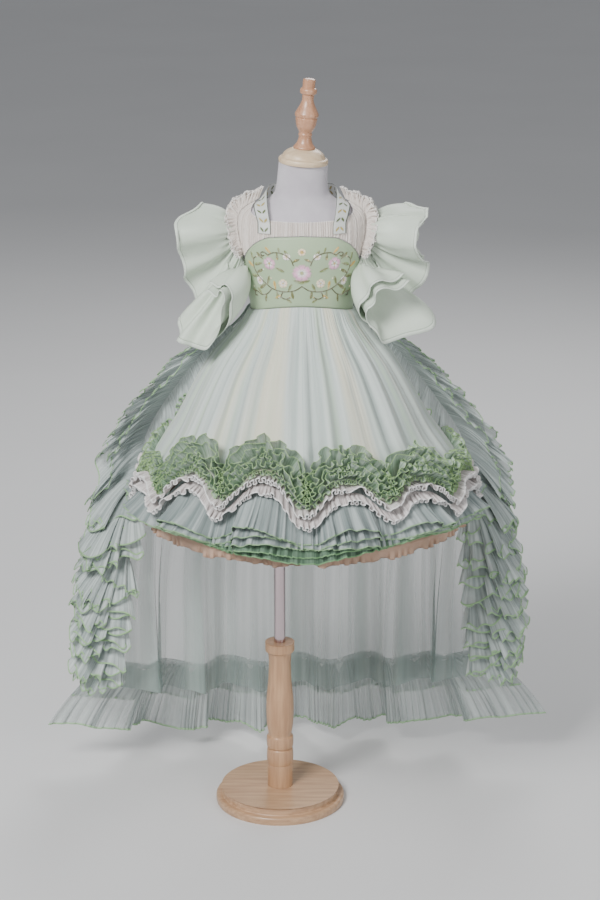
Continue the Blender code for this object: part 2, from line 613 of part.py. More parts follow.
def cascades():
    """Two layers of deep ruffle down each front edge of the train."""
    def place_on(side, t):
        """The train's edge, and the ways out of the train and ahead of it, on one side."""
        z = blend(CASCADE_FOOT_Z, CASCADE_TOP_Z, t)
        u = 0.0 if side > 0 else 1.0
        root = on_train(u, z)
        out = facing(lambda a, b: on(TRAIN, a, b), train_angle(u, z), z)
        ahead = (root - train_column(0.02 if side > 0 else 0.98, z)).normalized()
        return z, root + ahead * (WALL + 4 * SEAM), out, ahead
    for name, side in (("right", 1), ("left", -1)):
        for layer, lean, phase in (("outer", 1.0, 0.0), ("inner", -1.0, math.pi)):
            def sheet(u, v):
                t = u if side < 0 else 1 - u
                z, root, out, ahead = place_on(side, t)
                turn = 2 * math.pi * WAVES["cascade"] * t + phase
                width = CASCADE("width", z) * (1 + CASCADE_RAGGED * math.sin(turn))
                w = 1 - v
                sway = (lean * CASCADE_SPREAD * w + math.cos(turn) * CASCADE_WAVE) * width * w
                return root + out * width * w + ahead * (lean * (WALL + SEAM) / 2 + sway)
            cloth(f"train_cascade_{name}_{layer}", sheet, WAVES["cascade"] * POINTS["cascade"], 2,
                  green_garland)


for old in list(bpy.data.objects):
    bpy.data.objects.remove(old, do_unlink=True)
gown = bpy.data.collections.new("evening_gown")
bpy.context.scene.collection.children.link(gown)

beech = finish("beech", (0.47, 0.29, 0.17), 0.45)
pale_beech = finish("pale_beech", (0.72, 0.55, 0.36), 0.5)
stained_beech = finish("stained_beech", (0.52, 0.27, 0.16), 0.4)
chrome = finish("pole_chrome", (0.42, 0.32, 0.34), 0.25, 1.0)
jersey = finish("form_jersey", (0.58, 0.54, 0.60), 0.9)
satin = finish("green_satin", (0.41, 0.53, 0.34), 0.45)
taffeta = finish("mint_taffeta", (0.60, 0.68, 0.58), 0.5)
organza = finish("ribbon_organza", (0.75, 0.76, 0.74), 0.5)
cream_tulle = finish("cream_tulle", (0.72, 0.66, 0.58), 0.85)
green_tulle = finish("overskirt_tulle", (0.47, 0.53, 0.49), 0.85)
dark_tulle = finish("under_tulle", (0.20, 0.28, 0.26), 0.85)
blue_tulle = finish("flounce_tulle", (0.29, 0.38, 0.36), 0.85)
green_garland = finish("garland_tulle", (0.27, 0.42, 0.27), 0.85)
train_tulle = finish("train_tulle", (0.22, 0.30, 0.27), 0.85)
cotton = finish("peach_lining", (0.75, 0.52, 0.36), 0.8)

stand()
dress_form()
bodice_and_yoke()
ribbon()
armhole_frills()
sleeves()
skirt()
hem()
train()
cascades()
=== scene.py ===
"""The looks of a child's evening gown with a train, on a limbless dress form with a turned stand.

Metres, +Z up, in the frame of the construction. The gown faces -Y. Angles round it run from the
centre front (0) by the +X side (90) to the centre back (180). Each piece of cloth starts from the
same tables as its solid, and adds the folds, gathers and edges that are too fine for it.
"""

import math

import bmesh
import bpy
import numpy as np
from mathutils import Matrix, Vector


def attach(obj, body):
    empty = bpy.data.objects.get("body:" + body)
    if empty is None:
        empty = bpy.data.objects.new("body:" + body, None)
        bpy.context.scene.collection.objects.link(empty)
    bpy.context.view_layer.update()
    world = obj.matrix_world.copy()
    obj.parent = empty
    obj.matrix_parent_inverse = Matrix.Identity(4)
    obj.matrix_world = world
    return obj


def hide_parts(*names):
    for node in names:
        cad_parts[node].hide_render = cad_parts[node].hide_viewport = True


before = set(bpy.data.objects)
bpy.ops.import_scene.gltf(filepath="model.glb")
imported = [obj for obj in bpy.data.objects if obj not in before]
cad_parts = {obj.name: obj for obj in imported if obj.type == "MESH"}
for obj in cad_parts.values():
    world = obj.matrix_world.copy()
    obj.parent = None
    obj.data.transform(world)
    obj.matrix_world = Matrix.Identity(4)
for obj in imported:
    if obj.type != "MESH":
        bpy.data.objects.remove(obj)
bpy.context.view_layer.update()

# The picture. The camera stands where the photograph's stood, 17.6 degrees above the gown and
# 3.9 m off. The floor is plain and pale, and large soft lamps light it from the front and above.
CAMERA_PITCH = 17.6
LAMP_AIM = Vector((0.03, 0.0, 0.65))
LAMPS = (
    # name, place, size, power
    ("key_lamp", (-1.5, -2.5, 3.1), 1.3, 168.0),
    ("fill_lamp", (2.3, -2.3, 1.6), 1.8, 30.0),
    ("back_lamp", (0.6, 2.6, 2.6), 1.6, 50.0),
)


def placed(name, data):
    """An object in the scene, at the origin."""
    thing = bpy.data.objects.new(name, data)
    bpy.context.scene.collection.objects.link(thing)
    return thing


camera = placed("camera", bpy.data.cameras.new("camera"))
camera.data.lens = 100.2
camera.data.sensor_width = 36.0
camera.location = (0.034, -3.92, 1.87)
camera.rotation_euler = (math.radians(90 - CAMERA_PITCH), 0.0, 0.0)
bpy.context.scene.camera = camera
for name, place, size, power in LAMPS:
    lamp = placed(name, bpy.data.lights.new(name, "AREA"))
    lamp.data.size = size
    lamp.data.energy = power
    lamp.location = place
    lamp.rotation_euler = (LAMP_AIM - Vector(place)).to_track_quat("-Z", "Y").to_euler()

room = bpy.data.worlds.new("room")
room.use_nodes = True
room.node_tree.nodes["Background"].inputs["Color"].default_value = (0.86, 0.88, 0.92, 1.0)
room.node_tree.nodes["Background"].inputs["Strength"].default_value = 0.33
bpy.context.scene.world = room


class Measure:
    """A shader socket that takes part in arithmetic: each operator adds a Math node."""

    def __init__(self, finish, socket):
        self.finish = finish
        self.socket = socket

    def maths(self, operation, *others):
        inputs = dict(enumerate((self, *others)))
        return self.finish.node("ShaderNodeMath", {"operation": operation}, inputs)

    def __add__(self, other):
        return self.maths("ADD", other)

    def __sub__(self, other):
        return self.maths("SUBTRACT", other)

    def __rsub__(self, other):
        return self.maths("MULTIPLY_ADD", -1.0, other)

    def __mul__(self, other):
        return self.maths("MULTIPLY", other)

    __radd__ = __add__
    __rmul__ = __mul__

    def sine(self):
        return self.maths("SINE")

    def wave(self, pitch):
        """A sine wave along this measure, one every pitch metres."""
        return (self * (2 * math.pi / pitch)).sine()

    def part(self, name):
        """One of a vector's parts: X, Y or Z."""
        return self.finish.node("ShaderNodeSeparateXYZ", {}, {0: self}, name)

    def rise(self, low, high):
        """0 below low, 1 above high, and smooth between them."""
        limits = {"Value": self, "From Min": low, "From Max": high}
        return self.finish.node("ShaderNodeMapRange", {"interpolation_type": "SMOOTHSTEP"}, limits)


class Finish:
    """A surface: its Principled shader's own values, and the nodes that vary it."""

    def __init__(self, slot, values):
        self.slot = slot
        self.material = bpy.data.materials.new(slot)
        self.material.use_nodes = True
        self.tree = self.material.node_tree
        self.show(values)

    def show(self, values):
        """Sets or links sockets of the Principled shader."""
        shader = self.tree.nodes["Principled BSDF"]
        for name, value in values.items():
            self.feed(shader.inputs[name], value)

    def shown(self, name):
        """What is linked to a socket of the Principled shader so far."""
        shader = self.tree.nodes["Principled BSDF"]
        return Measure(self, shader.inputs[name].links[0].from_socket)

    def feed(self, socket, value):
        if isinstance(value, Measure):
            self.tree.links.new(value.socket, socket)
        elif hasattr(value, "__len__") and socket.type == "RGBA":
            socket.default_value = (*value[:3], 1.0)
        else:
            socket.default_value = value

    def node(self, kind, settings, inputs, output=0):
        """Any node, by its type, its settings and the values or links of its sockets."""
        node = self.tree.nodes.new(kind)
        for name, value in settings.items():
            setattr(node, name, value)
        for name, value in inputs.items():
            self.feed(node.inputs[name], value)
        return Measure(self, node.outputs[output])

    def blend(self, share, low, high):
        """A colour between two colours."""
        return self.node("ShaderNodeMix", {"data_type": "RGBA"}, {0: share, 6: low, 7: high}, 2)

    def space(self, kind, stretch=(1.0, 1.0, 1.0)):
        """The piece's own coordinates, Object or UV, both in metres."""
        place = self.node("ShaderNodeTexCoord", {}, {}, kind)
        return self.node("ShaderNodeMapping", {}, {"Vector": place, "Scale": stretch})

    def noise(self, place, scale=1.0, detail=3.0):
        inputs = {"Vector": place, "Scale": scale, "Detail": detail}
        return self.node("ShaderNodeTexNoise", {}, inputs, "Fac")

    def mark(self, name):
        """A value that the mesh carries at each of its points."""
        return self.node("ShaderNodeAttribute", {"attribute_name": name}, {}, "Fac")

    def relief(self, height, depth):
        return self.node("ShaderNodeBump", {}, {"Height": height, "Distance": depth}, "Normal")


floor_finish = Finish("floor", {"Roughness": 0.85})
cloudy = floor_finish.noise(floor_finish.space("Object"), 1.5)
floor_finish.show({"Base Color": floor_finish.blend(cloudy, (0.70, 0.70, 0.70), (0.76, 0.76, 0.76))})
shape = bmesh.new()
bmesh.ops.create_circle(shape, cap_ends=True, segments=64, radius=22.0)
floor_mesh = bpy.data.meshes.new("floor")
shape.to_mesh(floor_mesh)
shape.free()
floor_mesh.materials.append(floor_finish.material)
floor = placed("floor", floor_mesh)

# The stand's base and column. Both are turned from clear-lacquered beech: a stepped round foot,
# and a baluster with two rings that is glued into it and holds the pole in its upper collar.
BASE_TOP = 0.0266
COLUMN_TOP = 0.289
TOUCH = 0.0003
# From how many degrees a profile breaks its curve, and a turned surface shows an edge.
TURNED_CORNER = 42
TURNED_EDGE = 38
BASE = [
    (0.0, BASE_TOP), (0.0925, BASE_TOP), (0.0960, 0.0258), (0.0980, 0.0235), (0.0984, 0.0150),
    (0.1000, 0.0134), (0.1060, 0.0133), (0.1088, 0.0112), (0.1095, 0.0080), (0.1095, 0.0040),
    (0.1085, 0.0), (0.0, 0.0),
]
COLUMN = [
    (0.0, COLUMN_TOP), (0.0226, COLUMN_TOP), (0.0243, 0.2876), (0.0246, 0.2845), (0.0246, 0.2745),
    (0.0230, 0.2722), (0.0205, 0.2700), (0.0190, 0.2600), (0.0186, 0.2454), (0.0200, 0.2150),
    (0.0226, 0.1880), (0.0234, 0.1650), (0.0222, 0.1380), (0.0198, 0.1210), (0.0222, 0.1170),
    (0.0229, 0.1085), (0.0222, 0.0990), (0.0198, 0.0962), (0.0220, 0.0925), (0.0227, 0.0810),
    (0.0218, 0.0685), (0.0198, 0.0662), (0.0213, 0.0640), (0.0213, BASE_TOP + TOUCH),
    (0.0, BASE_TOP + TOUCH),
]


def measured(grid):
    """How far along and down a grid its columns and rows lie, in metres."""
    along = np.linalg.norm(np.diff(grid, axis=1), axis=2).mean(axis=0)
    down = np.linalg.norm(np.diff(grid, axis=0), axis=2).mean(axis=1)
    return np.append(0.0, np.cumsum(along)), np.append(0.0, np.cumsum(down))


class Strip:
    """A grid of points: rows down it, columns to the right seen from outside, and its marks."""

    def __init__(self, grid, closed=False, **marks):
        self.grid = grid
        self.closed = closed
        self.marks = marks


def mesh_of(name, strips, weld=False):
    """One mesh of one or more strips, with UVs in metres and the strips' marks at its points."""
    points, quads, places = [], [], []
    marks = {key: [] for key in strips[0].marks}
    count = 0
    for strip in strips:
        rows, columns = strip.grid.shape[:2]
        kept = columns - 1 if strip.closed else columns
        row, column = np.meshgrid(np.arange(rows - 1), np.arange(columns - 1), indexing="ij")
        corners = [(row, column), (row + 1, column), (row + 1, column + 1), (row, column + 1)]
        along, down = measured(strip.grid)
        index = [count + r * kept + c % kept for r, c in corners]
        quads.append(np.stack(index, axis=-1).reshape(-1, 4))
        place = [np.stack([along[c], down[r]], axis=-1) for r, c in corners]
        places.append(np.stack(place, axis=-2).reshape(-1, 2))
        points.append(strip.grid[:, :kept].reshape(-1, 3))
        for key, value in strip.marks.items():
            marks[key].append(np.broadcast_to(value, (rows, columns))[:, :kept].ravel())
        count += rows * kept
    quads = np.concatenate(quads)
    mesh = bpy.data.meshes.new(name)
    mesh.vertices.add(count)
    mesh.vertices.foreach_set("co", np.concatenate(points).astype(np.float32).ravel())
    mesh.loops.add(quads.size)
    mesh.loops.foreach_set("vertex_index", quads.astype(np.int32).ravel())
    mesh.polygons.add(len(quads))
    mesh.polygons.foreach_set("loop_start", np.arange(0, quads.size, 4, dtype=np.int32))
    mesh.update(calc_edges=True)
    cloth_map = mesh.uv_layers.new(name="cloth")
    cloth_map.data.foreach_set("uv", np.concatenate(places).astype(np.float32).ravel())
    for key, values in marks.items():
        layer = mesh.attributes.new(key, "FLOAT", "POINT")
        layer.data.foreach_set("value", np.concatenate(values).astype(np.float32))
    if weld:
        shape = bmesh.new()
        shape.from_mesh(mesh)
        bmesh.ops.remove_doubles(shape, verts=shape.verts, dist=0.00001)
        shape.to_mesh(mesh)
        shape.free()
    mesh.shade_smooth()
    return mesh


def put(name, node, mesh, finish, wall=0.0):
    """Shows a mesh as a piece in the place of its solid, with a wall if it is a thick cloth."""
    mesh.materials.append(finish.material)
    piece = placed(name, mesh)
    if wall:
        thick = piece.modifiers.new("wall", "SOLIDIFY")
        thick.thickness = wall
        thick.offset = 0.0
    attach(piece, "root")
    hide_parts(node)
    return piece


def through(points, at):
    """Points on a Catmull-Rom curve through points, an array; at runs from 0 to 1."""
    at = np.clip(at, 0.0, 1.0) * (len(points) - 1)
    i = np.minimum(at.astype(int), len(points) - 2)
    f = (at - i).reshape(-1, *[1] * (points.ndim - 1))
    padded = np.concatenate([[2 * points[0] - points[1]], points, [2 * points[-1] - points[-2]]])
    p0, p1, p2, p3 = (padded[i + k] for k in range(4))
    return 0.5 * (2 * p1 + (p2 - p0) * f + (2 * p0 - 5 * p1 + 4 * p2 - p3) * f ** 2
                  + (3 * p1 - p0 - 3 * p2 + p3) * f ** 3)


def turned(name, node, profile, finish, steps=96, place=Matrix.Identity(4)):
    """A turned piece from its profile, which curves between points that turn only a little."""
    path = np.array(profile)
    runs = np.diff(path, axis=0)
    heading = np.unwrap(np.arctan2(runs[:, 1], runs[:, 0]))
    bends = np.abs(np.diff(heading)) > math.radians(TURNED_CORNER)
    corners = [0, *(np.nonzero(bends)[0] + 1), len(path) - 1]
    outline = [path[:1]]
    for start, end in zip(corners, corners[1:]):
        stretch = path[start:end + 1]
        if len(stretch) > 2:
            outline.append(through(stretch, np.linspace(0, 1, 5 * len(stretch)))[1:])
        else:
            outline.append(stretch[1:])
    radius, height = np.concatenate(outline).T
    angle = np.linspace(0, 2 * math.pi, steps + 1)
    grid = np.stack([np.outer(radius, np.sin(angle)), -np.outer(radius, np.cos(angle)),
                     np.outer(height, np.ones(steps + 1))], axis=-1)
    mesh = mesh_of(name, [Strip(grid, closed=True)], weld=True)
    mesh.set_sharp_from_angle(angle=math.radians(TURNED_EDGE))
    mesh.transform(place)
    put(name, node, mesh, finish)


def wood(slot, pale, dark, stretch, roughness):
    """Lacquered beech: fibres along the grain, short dark flecks and a soft cloudiness."""
    finish = Finish(slot, {"Coat Weight": 0.3, "Coat Roughness": 0.22})
    fibres = finish.noise(finish.space("Object", stretch), 1.0, 6.0)
    clouds = finish.noise(finish.space("Object"), 9.0)
    fleck_stretch = tuple(3.2 * value for value in stretch)
    flecks = finish.noise(finish.space("Object", fleck_stretch), 1.0, 2.0).rise(0.62, 0.74)
    tone = fibres.rise(0.30, 0.70) * 0.65 + clouds * 0.45 - flecks * 0.30
    finish.show({
        "Base Color": finish.blend(tone, dark, pale),
        "Roughness": fibres * 0.18 + roughness,
        "Normal": finish.relief(fibres - flecks * 0.5, 0.00015),
    })
    return finish


base_beech = wood("beech", (0.60, 0.39, 0.23), (0.40, 0.225, 0.125), (14.0, 160.0, 160.0), 0.30)
column_beech = wood("beech", (0.60, 0.37, 0.21), (0.41, 0.225, 0.12), (150.0, 150.0, 9.0), 0.30)
turned("stand_base", "base", BASE, base_beech, 128)
turned("stand_column", "column", COLUMN, column_beech)

# The pole. A polished steel tube, which slides in the column's collar and carries the form.
POLE_RADIUS = 0.0095
POLE_TOP = 0.600 - TOUCH
pole_steel = Finish("pole_chrome", {"Metallic": 1.0})
brushed = pole_steel.noise(pole_steel.space("Object", (900.0, 900.0, 25.0)), 1.0, 4.0)
pole_steel.show({
    "Base Color": pole_steel.blend(brushed, (0.50, 0.40, 0.42), (0.64, 0.54, 0.56)),
    "Roughness": brushed * 0.12 + 0.16,
})
turned("stand_pole", "pole", [(0.0, POLE_TOP), (POLE_RADIUS, POLE_TOP),
                              (POLE_RADIUS, COLUMN_TOP + TOUCH), (0.0, COLUMN_TOP + TOUCH)],
       pole_steel, 48)

# The dress form. A child's limbless torso, padded and covered with stretched off-white jersey.
# It leans a little to +X, and its neck a little more.
GOWN_X = 0.037
WAIST_Z = 0.884
WAIST_DIP = 0.016
WAIST_SPREAD = 0.05
NECK_TOP_Z = 1.1037
NECK_TILT = math.radians(4.2)
NECK_TILT_FROM = 1.05


class Table:
    """Rows of named columns. A call reads one column on a monotone curve through the rows."""

    def __init__(self, columns, *rows):
        self.columns = columns.split()
        self.rows = np.array(sorted(rows))
        self.keys = self.rows[:, 0]

    def __call__(self, column, at):
        keys, values = self.keys, self.rows[:, self.columns.index(column)]
        run = np.diff(values) / np.diff(keys)
        product = run[:-1] * run[1:]
        total = np.where(product > 0, run[:-1] + run[1:], 1.0)
        slope = np.concatenate([run[:1], np.where(product > 0, 2 * product / total, 0.0), run[-1:]])
        at = np.clip(at, keys[0], keys[-1])
        i = np.clip(np.searchsorted(keys, at, side="right") - 1, 0, len(keys) - 2)
        step = keys[i + 1] - keys[i]
        t = (at - keys[i]) / step
        return ((1 + 2 * t) * (1 - t) ** 2 * values[i] + t * (1 - t) ** 2 * slope[i] * step
                + t * t * (3 - 2 * t) * values[i + 1] + t * t * (t - 1) * slope[i + 1] * step)


BODY = Table(
    "z      axis    wide    front   back",
    (0.600, 0.008, 0.0740, 0.0560, 0.0560),
    (0.640, 0.014, 0.0860, 0.0660, 0.0680),
    (0.700, 0.022, 0.0920, 0.0700, 0.0760),
    (0.760, 0.030, 0.0930, 0.0700, 0.0760),
    (0.820, 0.036, 0.0860, 0.0660, 0.0680),
    (0.880, GOWN_X, 0.0800, 0.0635, 0.0600),
    (0.920, GOWN_X, 0.0880, 0.0690, 0.0620),
    (0.965, GOWN_X, 0.0965, 0.0725, 0.0660),
    (1.000, GOWN_X, 0.0995, 0.0660, 0.0650),
    (1.016, GOWN_X, 0.0985, 0.0580, 0.0600),
    (1.025, GOWN_X, 0.0940, 0.0520, 0.0550),
    (1.033, GOWN_X, 0.0830, 0.0465, 0.0500),
    (1.040, GOWN_X, 0.0680, 0.0420, 0.0460),
    (1.047, GOWN_X, 0.0530, 0.0385, 0.0425),
    (1.058, GOWN_X, 0.0430, 0.0360, 0.0395),
    (1.075, 0.0375, 0.0400, 0.0350, 0.0375),
    (NECK_TOP_Z, 0.0390, 0.0388, 0.0350, 0.0350),
)


def sag(angle, z):
    """How far a layer drops at the sides, round the waist."""
    return WAIST_DIP * np.sin(angle) ** 2 * np.exp(-((z - WAIST_Z) / WAIST_SPREAD) ** 2)


def on(table, angle, z):
    """Points of a table's surface at angles and heights."""
    angle, z = np.broadcast_arrays(np.asarray(angle, float), np.asarray(z, float))
    depth = np.where(np.cos(angle) > 0, table("front", z), table("back", z))
    across = table("wide", z) * np.sin(angle)
    lean = np.clip((z - NECK_TILT_FROM) / (NECK_TOP_Z - NECK_TILT_FROM), 0.0, 1.0)
    height = z - sag(angle, z) - math.tan(NECK_TILT) * across * lean
    return np.stack([table("axis", z) + across, -depth * np.cos(angle), height], axis=-1)


def unit(vectors):
    return vectors / np.maximum(np.linalg.norm(vectors, axis=-1, keepdims=True), 1e-9)


def towards(start, end, tilt):
    """The direction start, turned towards end by tilt in radians."""
    return start * np.cos(tilt) + end * np.sin(tilt)


def facing(surface, a, b, step=0.0005):
    """Unit normals of surface(a, b), where a runs to the right of b seen from outside."""
    da = surface(a + step, b) - surface(a - step, b)
    db = surface(a, b + step) - surface(a, b - step)
    return unit(np.cross(da, db))


def outward(table, angle, z):
    """Unit normals of a table's surface."""
    return facing(lambda a, b: on(table, a, b), np.asarray(angle, float), np.asarray(z, float))


def over(table, angle, z, lift):
    """Points that lie lift metres off a table's surface."""
    return on(table, angle, z) + outward(table, angle, z) * np.asarray(lift)[..., None]


around = np.linspace(0, 2 * math.pi, 145)
levels = np.concatenate([np.linspace(NECK_TOP_Z, 1.0, 40), np.linspace(0.9975, 0.600, 56)])
skin = on(BODY, around, levels[:, None])
ends = [np.broadcast_to(skin[row].mean(axis=0), skin[0].shape) for row in (0, -1)]
skin = np.concatenate([ends[0][None], skin, ends[1][None]])
RIB_PITCH = 0.0022
COURSE_PITCH = 0.0016
jersey = Finish("form_jersey", {"Sheen Weight": 0.25, "Sheen Roughness": 0.5})
loops = jersey.space("UV")
ribs = loops.part("X").wave(RIB_PITCH)
courses = (loops.part("Y") * (2 * math.pi / COURSE_PITCH) + ribs * 0.8).sine()
worn = jersey.noise(jersey.space("Object"), 22.0, 4.0)
jersey.show({
    "Base Color": jersey.blend(worn.rise(0.3, 0.7), (0.56, 0.52, 0.57), (0.66, 0.63, 0.67)),
    "Roughness": worn * 0.1 + 0.82,
    "Normal": jersey.relief(ribs * courses, 0.00018),
})
torso_mesh = mesh_of("form_cover", [Strip(skin, closed=True)], weld=True)
torso_mesh.set_sharp_from_angle(angle=math.radians(50))
put("form_cover", "form_torso", torso_mesh, jersey)

# The neck's cap and finial. A low turned dome of pale beech closes the neck, and a warm-stained
# turned finial is screwed on it. Both follow the neck's lean.
CAP_HEIGHT = 0.0235
CAP = [
    (0.0, CAP_HEIGHT), (0.0170, CAP_HEIGHT), (0.0205, 0.0228), (0.0260, 0.0200), (0.0315, 0.0155),
    (0.0350, 0.0095), (0.0378, 0.0084), (0.0393, 0.0062), (0.0395, 0.0035), (0.0388, TOUCH),
    (0.0, TOUCH),
]
FINIAL = [
    (0.0, 0.1110), (0.0062, 0.1104), (0.0090, 0.1094), (0.0099, 0.1075), (0.0099, 0.0965),
    (0.0128, 0.0942), (0.0135, 0.0908), (0.0128, 0.0872), (0.0096, 0.0850), (0.0092, 0.0770),
    (0.0118, 0.0690), (0.0165, 0.0600), (0.0188, 0.0548), (0.0184, 0.0510), (0.0166, 0.0490),
    (0.0173, 0.0465), (0.0150, 0.0350), (0.0103, 0.0258), (0.0110, 0.0222), (0.0101, 0.0186),
    (0.0108, 0.0140), (0.0130, 0.0080), (0.0174, 0.0022), (0.0174, 0.0), (0.0, 0.0),
]
neck = Matrix.Translation((0.0390, 0.0, NECK_TOP_Z)) @ Matrix.Rotation(NECK_TILT, 4, "Y")
cap_beech = wood("pale_beech", (0.80, 0.64, 0.44), (0.60, 0.43, 0.26), (12.0, 120.0, 120.0), 0.32)
finial_beech = wood("stained_beech", (0.60, 0.33, 0.20), (0.40, 0.19, 0.10), (170.0, 170.0, 14.0), 0.26)
turned("neck_cap_turned", "neck_cap", CAP, cap_beech, 96, neck)
turned("finial_turned", "finial", FINIAL, finial_beech, 72,
       neck @ Matrix.Translation((0.0, 0.0, CAP_HEIGHT + TOUCH)))

# The lining. Peach cotton, cut as a bell, with a gathered strip of its own that shows a finger's
# width below the hem in front. It is sewn in at the waist.
HEM_X = 0.043
SKIRT = Table(
    "z      axis    wide    front   back",
    (0.515, HEM_X, 0.2680, 0.2720, 0.2220),
    (0.560, HEM_X, 0.2640, 0.2680, 0.2180),
    (0.605, HEM_X, 0.2480, 0.2500, 0.2030),
    (0.640, 0.041, 0.2260, 0.2300, 0.1850),
    (0.680, 0.039, 0.1980, 0.2030, 0.1630),
    (0.725, 0.038, 0.1740, 0.1700, 0.1390),
    (0.780, GOWN_X, 0.1430, 0.1320, 0.1130),
    (0.830, GOWN_X, 0.1070, 0.0950, 0.0860),
    (0.862, GOWN_X, 0.0890, 0.0750, 0.0690),
    (WAIST_Z, GOWN_X, 0.0818, 0.0654, 0.0616),
)


UP = np.array([0.0, 0.0, 1.0])
# The three rows of a rolled edge: forward and sideways, in units of the roll.
ROLL = ((1, 1), (2, 0), (1, -1))


def uneven(turn, count, seed, drift=0.35):
    """The phase of count waves along turn (0 to 1), which are drift wider or narrower by turns."""
    draw = np.random.default_rng(seed)
    phase = 2 * math.pi * count * turn
    for cycles in draw.integers(2, max(4, count // 3), size=4):
        shift = draw.uniform(0, 2 * math.pi)
        phase = phase + drift * 0.35 * count / cycles * (np.sin(2 * math.pi * cycles * turn + shift)
                                                         - math.sin(shift))
    return phase


def sway(turn, count, seed, low, high):
    """A value that wanders smoothly between low and high, about count times along turn."""
    draw = np.random.default_rng(seed)
    total = sum(np.sin(2 * math.pi * round(count * share) * turn + draw.uniform(0, 2 * math.pi))
                for share in (0.6, 1.0, 1.7))
    return low + (high - low) * (0.5 + total / 6)


def ruffle(seam, fall, out, depth, phase, swing, loop=0.0, lean=0.0, rows=7, roll=0.0006,
           closed=False, power=1.3, bend=1.0, sink=0.0, finer=0.14):
    """A gathered strip with a rolled edge, as a Strip.

    From the points of its seam it runs along fall for its depth, leans along out and sinks. Its
    waves deepen to swing at the free edge, and loop makes them bulge over each other as gathers do.
    Finer pleats, a share of the waves' depth, lie within them.
    """
    share = (np.linspace(0, 1, rows) ** 0.85)[:, None]
    along = unit(np.gradient(seam, axis=0))
    grown = share ** power
    side = lean * share ** bend + swing * grown * (np.sin(phase) + finer * np.sin(3 * phase + 1.1))
    shift = -loop * swing * grown * np.sin(2 * phase)
    grid = (seam + fall * (depth * share)[..., None] + out * side[..., None]
            + along * shift[..., None])
    grid = grid - UP * (sink * share ** 2)[..., None]
    edge = grid[-1]
    ahead = unit(edge - grid[-2])
    across = unit(np.cross(unit(np.gradient(edge, axis=0)), ahead))
    rolled = [edge + roll * (ahead * forward + across * sideways) for forward, sideways in ROLL]
    down = np.linalg.norm(np.diff(grid, axis=0), axis=2)
    to_edge = np.cumsum(down[::-1], axis=0)[::-1]
    from_edge = np.concatenate([to_edge, np.zeros((1 + len(ROLL), len(seam)))]) * 1000
    # Painted shade: a mark that is deepest where the waves fold inwards, middling on the rolled edge.
    fold_shade = np.concatenate([0.5 - 0.5 * np.sin(phase) * grown, np.full((len(ROLL), len(seam)), 0.5)])
    return Strip(np.concatenate([grid, rolled]), closed, hem=from_edge, fold_shade=fold_shade)


def area_of(strips):
    """The area of strips, in square metres."""
    total = 0.0
    for strip in strips:
        corner = strip.grid[:-1, :-1]
        sides = np.cross(strip.grid[1:, :-1] - corner, strip.grid[:-1, 1:] - corner)
        total += float(np.linalg.norm(sides, axis=-1).sum())
    return total


def cloth(name, strips, finish, wall=0.0, shaped=False, node=None):
    """Shows strips as a piece of cloth.

    The area is measured where the cut is shaped, which is to say no rectangle. The solid has the
    piece's own name unless node gives another.
    """
    piece = put(f"{name}_cloth", node or name, mesh_of(f"{name}_cloth", strips), finish, wall)
    area_of(strips) if shaped else None


def ring(columns):
    """Columns that go once round: their turn from 0 to 1, and their angle."""
    turn = np.linspace(0, 1, columns + 1)
    return turn, 2 * math.pi * turn


LINING_HEM_Z = 0.535
STRIP_SEAM_Z = 0.541
COTTON_PITCH = 0.0011
turn, around = ring(360)
levels = np.linspace(WAIST_Z, LINING_HEM_Z, 30)[:, None]
lining = Strip(over(SKIRT, around, levels, 0.0), closed=True, hem=30.0, fold_shade=0.5)
turn, around = ring(1440)
lining_ruffle = ruffle(over(SKIRT, around, STRIP_SEAM_Z, 0.0006), -UP, outward(SKIRT, around, STRIP_SEAM_Z),
                       sway(turn, 26, 5, 0.0130, 0.0215), uneven(turn, 92, 4, 0.8),
                       sway(turn, 34, 6, 0.0014, 0.0042), 0.45, sway(turn, 21, 7, -0.004, 0.002),
                       rows=6, closed=True)
cotton = Finish("peach_lining", {"Sheen Weight": 0.15})
threads = cotton.space("UV")
warp = threads.part("X").wave(COTTON_PITCH)
weft = threads.part("Y").wave(COTTON_PITCH)
mottle = cotton.noise(cotton.space("Object"), 18.0)
# Random mottling, and painted shade in the ruffle's fold valleys: the darker peach is the cotton in shade.
mottle_and_shade = mottle + cotton.mark("fold_shade") * 0.4
cotton.show({
    "Base Color": cotton.blend(mottle_and_shade, (0.66, 0.45, 0.33), (0.42, 0.27, 0.19)),
    "Roughness": mottle * 0.1 + 0.78,
    "Normal": cotton.relief(warp * weft, 0.00012),
})
cloth("lining", [lining, lining_ruffle], cotton, shaped=True,
      node="skirt_lining")

# The overskirt. Several layers of grey-green and cream tulle, gathered into the waist seam. The
# layers shift over each other, which streaks them, and they end under the garland.
WALL = 0.0012
SEAM = 0.0004
SWAGS = 12
SWAG_DEPTH = 0.020
SWAG_CUSP = 0.18
GARLAND_Z = 0.604
GARLAND_RISE = 0.036
# No two swags hang alike: how far the seam lies above an even line, in metres.
SWAG_OFF = Table(
    "degrees off",
    (-180, 0.002), (-150, -0.005), (-120, 0.004), (-90, -0.004), (-75, -0.014), (-60, 0.003),
    (-45, 0.001), (-31, 0.007), (-15, 0.003), (0, -0.004), (14, -0.010), (31, 0.003),
    (46, -0.013), (60, 0.002), (75, -0.013), (90, -0.002), (120, -0.005), (150, 0.004), (180, 0.002),
)
OVERSKIRT_FOLD = 0.0045
